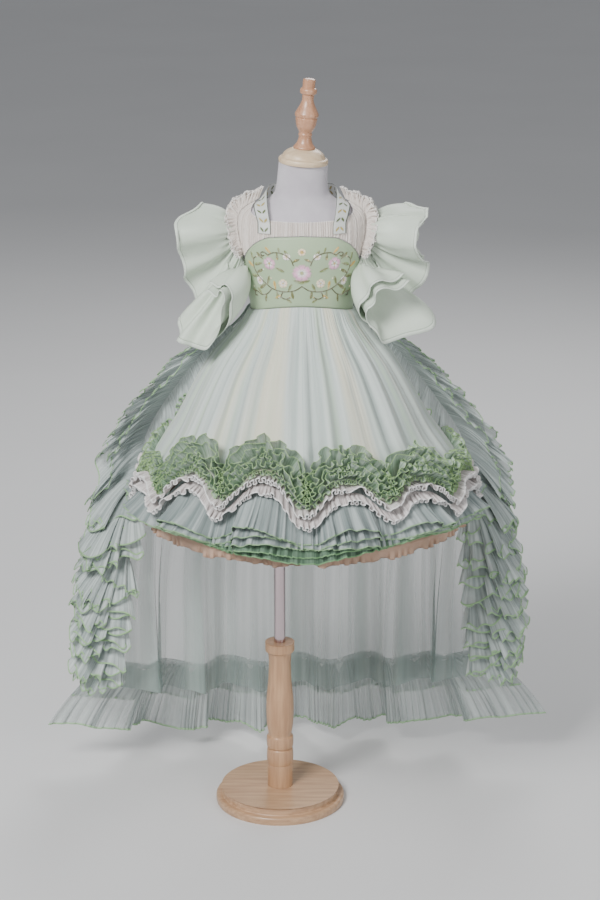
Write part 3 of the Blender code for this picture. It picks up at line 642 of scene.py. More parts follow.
# The deepest folds: the place round the skirt in degrees, the width in degrees, the depth in
# metres, and where they fade out, as shares of the way down.
OVERSKIRT_FOLDS = (
    (-78, 7.0, 0.0050, 0.05, 1.0), (-61, 4.5, 0.0060, 0.10, 1.0), (-47, 6.0, 0.0042, 0.0, 0.8),
    (-36, 3.5, 0.0055, 0.15, 1.0), (-24, 5.0, 0.0040, 0.0, 0.9), (-13, 3.0, 0.0050, 0.2, 1.0),
    (-4, 4.0, 0.0036, 0.0, 0.7), (7, 3.4, 0.0052, 0.1, 1.0), (19, 5.5, 0.0044, 0.0, 1.0),
    (31, 3.2, 0.0058, 0.2, 1.0), (42, 6.0, 0.0040, 0.0, 0.8), (55, 4.0, 0.0058, 0.1, 1.0),
    (70, 6.5, 0.0048, 0.05, 1.0), (88, 5.0, 0.0040, 0.0, 0.9), (112, 6.0, 0.0030, 0.1, 1.0),
    (137, 4.4, 0.0034, 0.0, 1.0), (158, 5.2, 0.0030, 0.2, 1.0), (181, 4.0, 0.0034, 0.0, 0.9),
    (204, 6.0, 0.0030, 0.1, 1.0), (228, 4.6, 0.0034, 0.0, 1.0), (251, 5.6, 0.0030, 0.1, 0.9),
    (268, 4.2, 0.0040, 0.0, 1.0),
)


def front_part(angle):
    """1 at the centre front, falling to 0 at the sides and staying 0 behind."""
    return np.maximum(np.cos(angle), 0.0) ** 1.5


def garland_line(angle):
    """The height of the garland's seam, which swings in swags round the hem."""
    swag = np.cos(SWAGS * angle) + SWAG_CUSP * np.cos(2 * SWAGS * angle)
    off = SWAG_OFF("off", (np.degrees(angle) + 180) % 360 - 180)
    return GARLAND_Z + GARLAND_RISE * front_part(angle) - SWAG_DEPTH * swag + off


def tulle(slot, colours, edge, cover, streak, edge_width=0.9):
    """Fine net: streaks down its gathers, painted shade in its fold valleys, with a rolled edge's thread.

    colours are the body in painted shade and lit, which the streaks and the folds' valleys mix; cover its
    opacity between and in the streaks.
    """
    finish = Finish(slot, {"Roughness": 0.82, "Sheen Weight": 0.22, "Sheen Roughness": 0.4})
    streaks = finish.noise(finish.space("UV", (streak, streak * 0.02, 1.0)), 1.0, 4.0).rise(0.32, 0.68)
    fold_shade = finish.mark("fold_shade")
    # Painted shade: the body darkens down the folds' valleys, as the mesh marks them.
    body = finish.blend(streaks * 0.6 + (1 - fold_shade) * 0.5, *colours)
    thread = 1 - finish.mark("hem").rise(edge_width * 0.6, edge_width * 1.4)
    colour = finish.blend(thread, body, edge)
    opacity = streaks * (cover[1] - cover[0]) + cover[0]
    hexagons = finish.space("UV", (1 / 0.0014, 1 / 0.0014, 1.0))
    net = finish.node("ShaderNodeTexVoronoi", {"feature": "DISTANCE_TO_EDGE"},
                      {"Vector": hexagons, "Scale": 1.0}, "Distance")
    shown = {"Base Color": colour, "Normal": finish.relief(net.rise(0.02, 0.2), 0.0001)}
    if cover[0] < 1.0:
        shown["Alpha"] = opacity.maths("MAXIMUM", thread)
    finish.show(shown)
    return finish


# The overskirt ends this far above the garland's seam.
OVERSKIRT_GAP = 0.004
FINE_GATHERS = 132
SOFT_FOLDS = 41
SOFT_FOLD = 0.0026
# Each deep fold has a lower ridge at both sides, this share of its depth and this far out.
RIDGE_SHARE = 0.35
RIDGE_AT = 1.7
turn, around = ring(720)
share = np.concatenate([[0, 0.006, 0.014, 0.026], np.linspace(0.045, 1, 29)])[:, None]
height = WAIST_Z + 0.0008 + (garland_line(around) - OVERSKIRT_GAP - WAIST_Z) * share
shown = 0.25 + 0.75 * np.clip(np.cos(around) * 2 + 1, 0, 1)
swell = (OVERSKIRT_FOLD * np.sin(math.pi * (1 - share)) ** 0.7 + 0.0012 * share) * shown
fine = np.sin(uneven(turn, FINE_GATHERS, 8, 0.6)) * (0.0006 * np.exp(-share * 5) + 0.0002)
medium = np.sin(uneven(turn, SOFT_FOLDS, 9, 0.6) + 0.8 * share) * SOFT_FOLD * share ** 0.6
medium = medium * sway(turn, 17, 12, 0.35, 1.15)
lift = 3 * WALL + swell + fine + medium * (0.4 + 0.6 * shown)
# Painted shade: the gathers' valleys darken, and the deep folds' troughs darken most.
fold_shade = 0.5 - fine / 0.003 - medium / 0.007
for centre, width, depth, start, end in OVERSKIRT_FOLDS:
    off = (np.degrees(around) - centre + 180) % 360 - 180
    begun = np.clip((share - start) * 4, 0, 1)
    trough = np.exp(-(off / width) ** 2) * begun * np.clip((end - share) * 4 + 0.3, 0, 1)
    ridge = np.exp(-((np.abs(off) - RIDGE_AT * width) / width) ** 2) * begun
    lift = lift - depth * trough + RIDGE_SHARE * depth * ridge
    fold_shade = fold_shade + 0.45 * trough
seated = np.clip(share / 0.03, 0, 1)
lift = np.maximum(lift, 0.0016) * seated + 0.0013 * (1 - seated)
overskirt = Strip(over(SKIRT, around, height, lift), closed=True, hem=50.0 + 0 * fold_shade,
                  fold_shade=np.clip(fold_shade, 0, 1))
overskirt_net = tulle("overskirt_tulle", ((0.45, 0.53, 0.50), (0.74, 0.80, 0.76)), (0.5, 0.6, 0.45),
                      (1.0, 1.0), 80.0)
OVERSKIRT_STREAKS = (
    # stretch of the noise along the cloth's length, its scale, where it starts and ends, share, colour
    ((17.0, 0.5, 1.0), 1.0, 0.47, 0.64, 0.75, (0.80, 0.76, 0.58)),
    ((23.0, 0.6, 1.0), 1.3, 0.50, 0.68, 0.62, (0.48, 0.62, 0.43)),
)
for stretch, scale, low, high, amount, colour in OVERSKIRT_STREAKS:
    streak = overskirt_net.noise(overskirt_net.space("UV", stretch), scale, 4.0).rise(low, high)
    body = overskirt_net.shown("Base Color")
    overskirt_net.show({"Base Color": overskirt_net.blend(streak * amount, body, colour)})
cloth("overskirt", [overskirt], overskirt_net, shaped=True)

# The hem's flounces. A pleated flounce of blue-green tulle bells out under each swag, in layers
# that are each cut a little longer than the one above, with rolled pale green edges. The two
# innermost are the under flounce, painted dark for the shade they lie in under the outer layers.
UNDER_HEM_Z = 0.530
FLOUNCE_SEAM = 0.003
FLOUNCE_HEM_Z = 0.530
FLOUNCE_HEM_RISE = 0.036
# The outermost layer's seam lies this far off the lining, and each further layer lies closer to it.
FLOUNCE_OFF = 0.0052
LAYER_GAP = 0.0006
INNER_SEAM_DROP = 0.008
FLOUNCE_PLEATS = 104
FEWER_PLEATS = 6
# The flare of the layers, as shares of their depth: even, at each swag, at half swags, and least.
FLARE, SWAG_BELL, HALF_BELL, LEAST_FLARE = 0.24, -0.23, -0.09, 0.07
# The edges of the five layers rise and fall unevenly: by degrees, in metres above an even edge.
LAYER_OFF = Table(
    "degrees first second third fourth fifth",
    (-180, 0.000, 0.002, -0.001, 0.002, 0.000), (-140, 0.005, -0.002, 0.003, 0.000, 0.004),
    (-105, -0.002, 0.003, 0.000, 0.003, 0.002), (-80, 0.003, 0.004, 0.002, 0.006, 0.005),
    (-62, -0.005, 0.001, 0.006, 0.005, 0.010), (-46, 0.006, 0.000, 0.002, 0.008, 0.013),
    (-32, -0.004, -0.003, 0.003, 0.006, 0.010), (-22, 0.009, 0.006, 0.001, 0.000, 0.003),
    (-8, -0.003, 0.008, 0.006, 0.000, -0.002), (3, -0.008, -0.004, 0.004, 0.000, -0.003),
    (14, 0.006, 0.001, -0.002, 0.003, 0.002), (27, 0.002, 0.006, 0.002, 0.008, 0.012),
    (38, 0.009, 0.002, 0.006, 0.009, 0.016), (52, -0.002, 0.004, 0.003, 0.006, 0.010),
    (66, 0.006, 0.000, 0.004, 0.002, 0.005), (84, -0.003, 0.003, 0.000, 0.003, 0.000),
    (115, 0.004, -0.003, 0.003, 0.000, 0.004), (150, -0.002, 0.003, -0.002, 0.003, 0.000),
    (180, 0.000, 0.002, -0.001, 0.002, 0.000),
)


def flounce_layer(step, columns, seed):
    """One of the hem's layers, step 0 outside to 4 inside, each longer than the one above."""
    turn, angle = ring(columns)
    top = garland_line(angle) - FLOUNCE_SEAM - INNER_SEAM_DROP * (step > 0)
    outer_end = FLOUNCE_HEM_Z + FLOUNCE_HEM_RISE * front_part(angle)
    off = LAYER_OFF(LAYER_OFF.columns[step + 1], (np.degrees(angle) + 180) % 360 - 180)
    end = outer_end + (UNDER_HEM_Z - outer_end) * (step / 4) ** 0.8 + off
    root = FLOUNCE_OFF - LAYER_GAP * step
    seam = over(SKIRT, angle, top, root)
    out = outward(SKIRT, angle, top)
    low = over(SKIRT, angle, end, root)
    fall = unit(low - seam)
    reach = np.linalg.norm(low - seam, axis=-1)
    bell = SWAG_BELL * np.cos(SWAGS * angle) + HALF_BELL * np.cos(2 * SWAGS * angle)
    medium = 0.10 * np.sin(uneven(turn, 58, 21, 0.5)) * sway(turn, 19, 23, 0.2, 1.2)
    lean = reach * np.maximum(FLARE + bell + medium, LEAST_FLARE) * (1 - 0.15 * step)
    pleats = uneven(turn, FLOUNCE_PLEATS - FEWER_PLEATS * step, seed, 1.0)
    deep = sway(turn, 70, seed + 1, 0.0006, 0.0050)
    return ruffle(seam, fall, out, reach, pleats, deep, 0.30, lean, rows=9 if step == 0 else 5,
                  closed=True, power=1.2, bend=1.6)


flounce_net = tulle("flounce_tulle", ((0.17, 0.22, 0.215), (0.43, 0.485, 0.475)), (0.32, 0.50, 0.28),
                    (0.90, 1.0), 160.0)
# The under flounce's body and edge colours are painted shade: the shade under the outer layers.
under_net = tulle("under_tulle", ((0.045, 0.095, 0.055), (0.15, 0.25, 0.165)), (0.22, 0.42, 0.20),
                  (1.0, 1.0), 420.0)
layers = [flounce_layer(step, 1296 if step else 1728, 31 + 2 * step) for step in range(5)]
cloth("flounce", layers[:3], flounce_net, node="hem_flounce")
cloth("under_flounce", layers[3:], under_net, node="hem_under_flounce")

# The two narrow frills. Cream tulle with white rolled edges, one over the other, sewn along the
# swags under the garland.
cream_net = tulle("cream_tulle", ((0.36, 0.31, 0.30), (0.84, 0.80, 0.78)), (0.94, 0.93, 0.92),
                  (1.0, 1.0), 700.0, 1.0)
FRILLS = (
    # name, how far below the garland's seam it starts, depth, off the lining, degrees off the
    # skirt, seed
    ("lower", 0.0185, 0.0225, 0.0104, 30, 41),
    ("upper", 0.0050, 0.0215, 0.0104, 44, 43),
)
FRILL_WAVES = 158
for name, start, depth, root, stand_off, seed in FRILLS:
    turn, angle = ring(1920)
    top = garland_line(angle) - start
    seam = over(SKIRT, angle, top, root)
    out = outward(SKIRT, angle, top)
    down = unit(over(SKIRT, angle, top - depth, root) - seam)
    tilt = np.radians(stand_off + sway(turn, 40, seed + 3, -9, 9))[:, None]
    fall = towards(down, out, tilt)
    side = towards(out, -down, tilt)
    long = depth * sway(turn, 44, seed + 2, 0.86, 1.06)
    frill = ruffle(seam, fall, side, long, uneven(turn, FRILL_WAVES, seed, 0.9),
                   sway(turn, 50, seed, 0.0028, 0.0052), 0.50, rows=5, roll=0.0008, closed=True,
                   power=0.9, finer=0.0)
    cloth(f"frill_{name}", [frill], cream_net, node=f"hem_frill_{name}")

# The garland. Six strips of tulle are gathered tightly on the seam above the frills. They stand
# up and out from it in a fan, so their rolled green edges crowd over a pale body in each swag.
GARLAND_FAN = (
    # degrees up from straight down, depth, waves round the hem, how far the edge bends over
    (66, 0.017, 176, 0.00), (94, 0.030, 150, 0.00), (110, 0.036, 132, 0.10), (125, 0.042, 124, 0.18),
    (139, 0.046, 118, 0.24), (152, 0.048, 126, 0.30),
)
garland_net = tulle("garland_tulle", ((0.19, 0.35, 0.17), (0.56, 0.66, 0.58)), (0.36, 0.55, 0.24),
                    (0.76, 1.0), 260.0, 0.5)
near_seam = garland_net.mark("hem").rise(16.0, 34.0)
body = garland_net.shown("Base Color")
garland_net.show({"Base Color": garland_net.blend(near_seam * 0.60, body, (0.66, 0.72, 0.58))})
# How much shorter the strips are at the joints of the swags, and at the sides and back.
SHORTER_AT_JOINT = 0.34
SHORTER_ASIDE = 0.56
strips = []
for rank, (lean, depth, count, curl) in enumerate(GARLAND_FAN):
    turn, angle = ring(1248)
    top = garland_line(angle) - 0.001 + 0.0016 * rank
    seam = over(SKIRT, angle, top, 0.0110 - 0.0010 * rank)
    out = outward(SKIRT, angle, top)
    down = unit(np.cross(unit(np.gradient(seam, axis=0)), out))
    down = np.where(down[:, 2:] > 0, -down, down)
    tilt = np.radians(lean + sway(turn, 55, 60 + rank, -13, 13))[:, None]
    fall = towards(down, out, tilt)
    side = towards(-out, down, tilt)
    joint = (0.5 + 0.5 * np.cos(SWAGS * angle)) ** 2
    aside = np.clip((0.68 - np.cos(angle)) / 0.4, 0, 1)
    shorter = (1 - SHORTER_AT_JOINT * joint) * (1 - SHORTER_ASIDE * aside)
    long = depth * sway(turn, 70, 80 + rank, 0.84, 1.12) * shorter
    swing = sway(turn, 60, 70 + rank, 0.0026, 0.0060)
    strip = ruffle(seam, fall, side, long, uneven(turn, count, 50 + rank, 0.6), swing, 0.55,
                   curl * long, rows=6, roll=0.0005, closed=True, bend=2.4)
    # Painted shade: the strips darken at the joints of the swags, where they crowd.
    strip.marks["fold_shade"] = np.clip(0.8 * strip.marks["fold_shade"] + 0.75 * joint - 0.1, 0, 1.25)
    strips.append(strip)
cloth("garland", strips, garland_net, node="hem_garland")

# The bodice. Sage satin, cut as a front and two back halves that meet at the side seams and the
# centre back. Its neckline is turned in, and it is drawn close round the form.
BODICE_LIFT = 0.0017
WAIST_SEAM = 0.0010
BODICE_TOP = Table(
    "angle z",
    (0, 0.9990), (30, 0.9955), (45, 0.9860), (60, 0.9700), (75, 0.9480), (90, 0.9280),
    (105, 0.9450), (120, 0.9640), (145, 0.9820), (180, 0.9880),
)
# Creases of the satin: place in degrees and height, way in degrees from level, half length,
# half width and depth in millimetres.
BODICE_CREASES = (
    (52, 0.972, -38, 22, 3.2, 0.9), (58, 0.962, -42, 18, 2.6, 0.8), (40, 0.978, -30, 16, 3.0, 0.6),
    (62, 0.915, 24, 20, 3.0, 0.9), (50, 0.905, 18, 17, 2.6, 0.7), (70, 0.932, 34, 15, 2.6, 0.8),
    (-55, 0.968, 36, 20, 3.0, 0.7), (-64, 0.920, -26, 20, 3.0, 0.9), (-50, 0.902, -15, 16, 2.4, 0.6),
    (-70, 0.940, -40, 14, 2.4, 0.7), (12, 0.897, 4, 20, 2.2, 0.4), (-20, 0.899, -6, 18, 2.2, 0.4),
    (115, 0.930, -30, 20, 3.0, 0.7), (150, 0.915, 20, 20, 2.8, 0.6), (205, 0.940, 28, 18, 2.8, 0.6),
    (240, 0.918, -24, 20, 3.0, 0.8), (168, 0.958, -12, 16, 2.4, 0.5), (222, 0.968, 18, 14, 2.4, 0.5),
)
BODICE_MM_PER_DEGREE = 0.0175 * 88
BODICE_WALL = 0.0007
# The least that a crease leaves between the satin and the form.
CREASE_FLOOR = 0.0004
SPANS = {"front": (-90, 90), "back_right": (90, 180), "back_left": (180, 270)}
slack = math.degrees(SEAM / 2 / 0.080)


def by_angle(table, angle):
    """An edge's height by angle, the same on both sides of the gown."""
    degrees = np.degrees(angle) % 360
    return table("z", np.minimum(degrees, 360 - degrees))


def creased(angle, z, creases):
    """How far creases press the cloth in at angles and heights."""
    pressed = 0.0
    for degrees, height, way, half_length, half_width, depth in creases:
        across = ((np.degrees(angle) - degrees + 180) % 360 - 180) * BODICE_MM_PER_DEGREE
        up = (z - height) * 1000
        cos, sin = math.cos(math.radians(way)), math.sin(math.radians(way))
        far, off = across * cos + up * sin, up * cos - across * sin
        trough = np.exp(-(off / half_width) ** 2)
        ridge = 0.45 * np.exp(-((off - 2 * half_width) / half_width) ** 2)
        pressed = pressed + depth * 0.001 * (trough - ridge) * np.exp(-(far / half_length) ** 4)
    return pressed


def bodice_lift(angle, z):
    """How far off the form the satin lies, with its creases."""
    return BODICE_LIFT - np.minimum(creased(angle, z, BODICE_CREASES), BODICE_LIFT - CREASE_FLOOR)


satin = Finish("green_satin", {"Sheen Weight": 0.35, "Sheen Roughness": 0.3, "Specular IOR Level": 0.6})
ends_of_warp = satin.noise(satin.space("UV", (2600.0, 90.0, 1.0)), 1.0, 2.0)
cloudy = satin.noise(satin.space("Object"), 14.0)
tone = cloudy * 0.7 + ends_of_warp * 0.3
satin.show({
    "Base Color": satin.blend(tone, (0.36, 0.48, 0.295), (0.45, 0.57, 0.38)),
    "Roughness": ends_of_warp * 0.14 + 0.40,
    "Normal": satin.relief(ends_of_warp, 0.00008),
})
for part, (start, end) in SPANS.items():
    angle = np.radians(np.linspace(start + slack, end - slack, 110 if part == "front" else 56))
    share = np.linspace(0, 1, 34)[:, None]
    top = by_angle(BODICE_TOP, angle)
    height = top + (WAIST_Z + WAIST_SEAM - top) * share
    fold = 0.0004 * np.exp(-((share * 0.11 - 0.002) / 0.0016) ** 2)
    panel = Strip(over(BODY, angle, height, bodice_lift(angle, height) + fold))
    cloth(f"bodice_{part}", [panel], satin,
          BODICE_WALL, shaped=True)

# The embroidery on the bodice's front, and the stitches along its seams. A symmetrical spray of
# blossoms and leaves is worked in satin stitch: the tables say what is sewn where, loops lay its
# threads, and a node group sets a slim raised thread on each place.
THREAD_COLOURS = {
    "pink": (0.86, 0.46, 0.66), "rose": (0.70, 0.26, 0.48), "white": (0.90, 0.86, 0.84),
    "cream": (0.90, 0.80, 0.56), "gold": (0.70, 0.47, 0.12), "olive": (0.19, 0.20, 0.06),
    "leaf": (0.27, 0.36, 0.13), "stem": (0.11, 0.105, 0.04), "sage": (0.30, 0.41, 0.24),
}
BLOSSOMS = (
    # how far from the middle and height of the centre, radius, petals, outer and inner colours
    (0.0, 0.9420, 0.0155, 7, "pink", "white"), (0.0485, 0.9560, 0.0110, 5, "pink", "white"),
    (0.0290, 0.9250, 0.0080, 5, "cream", "white"), (0.0700, 0.9290, 0.0070, 5, "white", "cream"),
    (0.0215, 0.9680, 0.0060, 5, "white", "cream"), (0.0, 0.9755, 0.0062, 5, "cream", "gold"),
)
STEMS = (
    ((0.0, 0.9200), (0.0120, 0.9130), (0.0300, 0.9120), (0.0480, 0.9175), (0.0640, 0.9290)),
    ((0.0640, 0.9290), (0.0740, 0.9385), (0.0790, 0.9500), (0.0770, 0.9610), (0.0705, 0.9650)),
    ((0.0120, 0.9540), (0.0160, 0.9640), (0.0270, 0.9720), (0.0400, 0.9735), (0.0500, 0.9690)),
    ((0.0480, 0.9175), (0.0580, 0.9100), (0.0700, 0.9085), (0.0790, 0.9130)),
    ((0.0300, 0.9120), (0.0340, 0.9040), (0.0270, 0.8995), (0.0190, 0.9020)),
    ((0.0500, 0.9690), (0.0560, 0.9730), (0.0620, 0.9715), (0.0600, 0.9670), (0.0560, 0.9680)),
    ((0.0790, 0.9130), (0.0850, 0.9140), (0.0860, 0.9080), (0.0810, 0.9075)),
)
LEAF_SCALE = 1.5
LEAVES = (
    # foot of the leaf, the way it points in degrees, length, colour
    (0.0130, 0.9300, 196, 0.0115, "leaf"), (0.0160, 0.9130, 262, 0.0090, "olive"),
    (0.0215, 0.9120, 118, 0.0090, "leaf"), (0.0400, 0.9145, 272, 0.0095, "leaf"),
    (0.0420, 0.9155, 84, 0.0090, "gold"), (0.0560, 0.9225, 112, 0.0100, "leaf"),
    (0.0580, 0.9240, -24, 0.0105, "olive"), (0.0700, 0.9345, 6, 0.0110, "leaf"),
    (0.0745, 0.9400, 156, 0.0095, "olive"), (0.0785, 0.9480, 28, 0.0100, "gold"),
    (0.0780, 0.9580, 68, 0.0090, "leaf"), (0.0600, 0.9095, -68, 0.0085, "olive"),
    (0.0690, 0.9085, 52, 0.0085, "leaf"), (0.0795, 0.9130, 12, 0.0090, "leaf"),
    (0.0140, 0.9590, 150, 0.0080, "olive"), (0.0180, 0.9665, 60, 0.0085, "leaf"),
    (0.0310, 0.9728, 74, 0.0060, "leaf"), (0.0360, 0.9735, -96, 0.0075, "olive"),
    (0.0450, 0.9718, 46, 0.0085, "gold"), (0.0610, 0.9560, -14, 0.0105, "leaf"),
    (0.0585, 0.9620, 38, 0.0100, "olive"), (0.0390, 0.9500, 206, 0.0095, "leaf"),
    (0.0270, 0.8997, 214, 0.0080, "leaf"), (0.0330, 0.9065, -22, 0.0080, "gold"),
)
KNOTS = (
    # how far from the middle, height, colour
    (0.0505, 0.9690, "gold"), (0.0705, 0.9650, "cream"), (0.0190, 0.9020, "gold"),
    (0.0860, 0.9200, "cream"), (0.0600, 0.9460, "white"), (0.0360, 0.9640, "gold"),
    (0.0480, 0.9330, "cream"), (0.0090, 0.9630, "gold"), (0.0380, 0.9030, "white"),
    (0.0870, 0.9540, "gold"),
)
# Metres along the satin for each radian round it.
ARC = 0.0865
# Half the thickness of each kind of thread, and how far they lie off the satin, in metres.
THREADS = {
    "petal": 0.00042, "heart": 0.00040, "vein": 0.00026, "pollen": 0.00055, "stem": 0.00110,
    "leaf": 0.00052, "rib": 0.00045, "knot": 0.00075, "seam": 0.00024, "edge": 0.00022,
}
THREAD_LIFT = 0.0005


class Threads:
    """Threads to be laid on the satin: the ends, the kind and the colour of each."""

    def __init__(self):
        self.rows = []

    def lay(self, start, end, kind, colour):
        self.rows.append((*start, *end, THREADS[kind], *THREAD_COLOURS[colour]))

    def both_sides(self, start, end, kind, colour):
        self.lay(start, end, kind, colour)
        self.lay((-start[0], start[1]), (-end[0], end[1]), kind, colour)


def polar(centre, degrees, radius):
    """A point at a distance from a centre, in a direction."""
    return (centre[0] + radius * math.cos(math.radians(degrees)),
            centre[1] + radius * math.sin(math.radians(degrees)))


work = Threads()
for off, height, radius, petals, outer, inner in BLOSSOMS:
    centre = (off, height)
    lay = work.both_sides if off else work.lay
    for petal in range(petals):
        middle = 90 + 360 * petal / petals
        for k in range(-5, 6):
            spread = k / 5
            tip = radius * (1 - 0.22 * spread ** 4 - 0.06 * math.cos(3 * spread))
            lay(polar(centre, middle + spread * 13, radius * 0.30),
                polar(centre, middle + spread * 162 / petals, tip), "petal", outer)
            if k % 2:
                lay(polar(centre, middle + spread * 15, radius * 0.16),
                    polar(centre, middle + spread * 22, radius * 0.62), "heart", inner)
        between = middle + 180 / petals
        lay(polar(centre, between, radius * 0.25), polar(centre, between, radius * 0.80), "vein", "rose")
    for k in range(7):
        heart = polar(centre, k * 60, radius * 0.10 * (k < 6))
        lay((heart[0] - 0.0005, heart[1]), (heart[0] + 0.0005, heart[1]), "pollen", "gold")
for points in STEMS:
    line = through(np.array(points), np.linspace(0, 1, 14 * (len(points) - 1)))
    for start, end in zip(line, line[1:]):
        ahead = (end - start) * 0.35
        work.both_sides(start - ahead, end + ahead, "stem", "stem")
for s, z, degrees, table_length, colour in LEAVES:
    length = LEAF_SCALE * table_length
    for k in range(13):
        along_rib = 0.04 + 0.92 * k / 12
        width = 0.23 * math.sin(math.pi * along_rib ** 0.8)
        foot = polar((s, z), degrees, length * along_rib)
        for side in (1, -1):
            tip = polar(foot, degrees + side * 38, length * (width + 0.05))
            shade = colour if side > 0 or colour == "gold" else "olive"
            work.both_sides(foot, tip, "leaf", shade)
    work.both_sides((s, z), polar((s, z), degrees, length), "rib", "stem")
for s, z, colour in KNOTS:
    for degrees in (0, 60, 120):
        ends = [polar((s, z), degrees, reach) for reach in (-0.0014, 0.0014)]
        work.both_sides(*ends, "knot", colour)


def top_edge(angle):
    """The height of the stitches under the bodice's neckline."""
    return float(by_angle(BODICE_TOP, np.array([angle]))[0]) - 0.0034


seams = Threads()
for angle in np.arange(-1.5, 1.5, 0.0225):
    for z in (WAIST_Z + 0.0042, WAIST_Z + 0.0068):
        seams.lay((angle * ARC, z), (angle * ARC + 0.0013, z), "seam", "sage")
for angle in np.arange(-1.02, 1.02, 0.03):
    z = top_edge(angle)
    slope = (top_edge(angle + 0.02) - z) / 0.02
    seams.lay((angle * ARC, z), ((angle + 0.017) * ARC, z + slope * 0.017), "edge", "sage")


def thread_tree():
    """A node group that sets a slim thread on each point, along and up as the point says."""
    tree = bpy.data.node_groups.new("laid_threads", "GeometryNodeTree")
    sockets = [tree.interface.new_socket(name, in_out=way, socket_type=f"NodeSocket{kind}")
               for name, way, kind in (("Points", "INPUT", "Geometry"), ("Material", "INPUT", "Material"),
                                       ("Threads", "OUTPUT", "Geometry"))]
    nodes = tree.nodes
    given, made = nodes.new("NodeGroupInput"), nodes.new("NodeGroupOutput")
    thread = nodes.new("GeometryNodeMeshUVSphere")
    thread.inputs["Segments"].default_value = 5
    thread.inputs["Rings"].default_value = 4
    thread.inputs["Radius"].default_value = 1.0
    said = {}
    for name in ("along", "up", "size"):
        said[name] = nodes.new("GeometryNodeInputNamedAttribute")
        said[name].data_type = "FLOAT_VECTOR"
        said[name].inputs["Name"].default_value = name
    turn = nodes.new("FunctionNodeAxesToRotation")
    turn.primary_axis, turn.secondary_axis = "Z", "X"
    laid, real, smooth, painted = (nodes.new(f"GeometryNode{kind}") for kind in (
        "InstanceOnPoints", "RealizeInstances", "SetShadeSmooth", "SetMaterial"))
    for source, output, target, into in (
        (said["along"], "Attribute", turn, "Primary Axis"),
        (said["up"], "Attribute", turn, "Secondary Axis"),
        (given, "Points", laid, "Points"), (thread, "Mesh", laid, "Instance"),
        (turn, "Rotation", laid, "Rotation"), (said["size"], "Attribute", laid, "Scale"),
        (laid, "Instances", real, "Geometry"), (real, "Geometry", smooth, "Geometry"),
        (smooth, "Geometry", painted, "Geometry"), (given, "Material", painted, "Material"),
        (painted, "Geometry", made, "Threads"),
    ):
        tree.links.new(source.outputs[output], target.inputs[into])
    return tree, sockets[1].identifier


def sewn(name, threads):
    """Shows threads as a piece, laid on the bodice."""
    rows = np.array(threads.rows)
    angles, heights = rows[:, 0:3:2] / ARC, rows[:, 1:4:2]
    start, end = (over(BODY, angles[:, k], heights[:, k],
                       bodice_lift(angles[:, k], heights[:, k]) + THREAD_LIFT) for k in (0, 1))
    up = outward(BODY, angles.mean(axis=1), heights.mean(axis=1))
    mesh = bpy.data.meshes.new(name)
    mesh.vertices.add(len(rows))
    mesh.vertices.foreach_set("co", ((start + end) / 2).astype(np.float32).ravel())
    long = np.linalg.norm(end - start, axis=-1) / 2
    size = np.stack([rows[:, 4], rows[:, 4], long], axis=-1)
    colour = np.concatenate([rows[:, 5:8], np.ones((len(rows), 1))], axis=1)
    for key, kind, channel, values in (
        ("along", "FLOAT_VECTOR", "vector", unit(end - start)), ("up", "FLOAT_VECTOR", "vector", up),
        ("size", "FLOAT_VECTOR", "vector", size), ("thread_colour", "FLOAT_COLOR", "color", colour),
    ):
        layer = mesh.attributes.new(key, kind, "POINT")
        layer.data.foreach_set(channel, values.astype(np.float32).ravel())
    piece = placed(name, mesh)
    laying = piece.modifiers.new("laying", "NODES")
    laying.node_group = laid_threads
    laying[material_input] = silk_thread.material
    evaluated = piece.evaluated_get(bpy.context.evaluated_depsgraph_get())
    baked = bpy.data.meshes.new_from_object(evaluated)
    piece.modifiers.remove(laying)
    piece.data = baked
    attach(piece, "root")


silk_thread = Finish("embroidery_thread", {"Roughness": 0.42, "Sheen Weight": 0.3})
dyed = silk_thread.node("ShaderNodeAttribute", {"attribute_name": "thread_colour"}, {}, "Color")
shade = silk_thread.noise(silk_thread.space("Object"), 260.0, 2.0)
silk_thread.show({
    "Base Color": silk_thread.blend(shade.rise(0.35, 0.75) * 0.25, dyed, (0.95, 0.92, 0.85)),
    "Normal": silk_thread.relief(silk_thread.noise(silk_thread.space("Object"), 4000.0, 1.0), 0.00005),
})
laid_threads, material_input = thread_tree()
sewn("embroidery_spray", work)
sewn("bodice_stitches", seams)

# The yoke. Blush tulle in fine upright pleats from the satin's edge to the neckline, over the
# bare jersey. It is cut like the bodice, in a front and two back halves.
YOKE_LIFT = 0.0026
SHOULDER_LIFT = 0.0022
YOKE_BOTTOM = Table(
    "angle z",
    (0, 0.9990), (30, 0.9955), (45, 0.9860), (60, 0.9700), (68, 0.9610), (74, 0.9780),
    (80, 1.0050), (90, 1.0230), (100, 1.0050), (106, 0.9780), (112, 0.9610), (120, 0.9640),
    (145, 0.9820), (180, 0.9880),
)
NECKLINE = Table(
    "angle z",
    (0, 1.0185), (30, 1.0200), (45, 1.0225), (60, 1.0280), (75, 1.0350), (90, 1.0380),
    (120, 1.0330), (150, 1.0260), (180, 1.0220),
)


def yoke_lift(angle):
    """How far off the form the yoke lies."""
    return YOKE_LIFT + SHOULDER_LIFT * np.sin(angle) ** 6


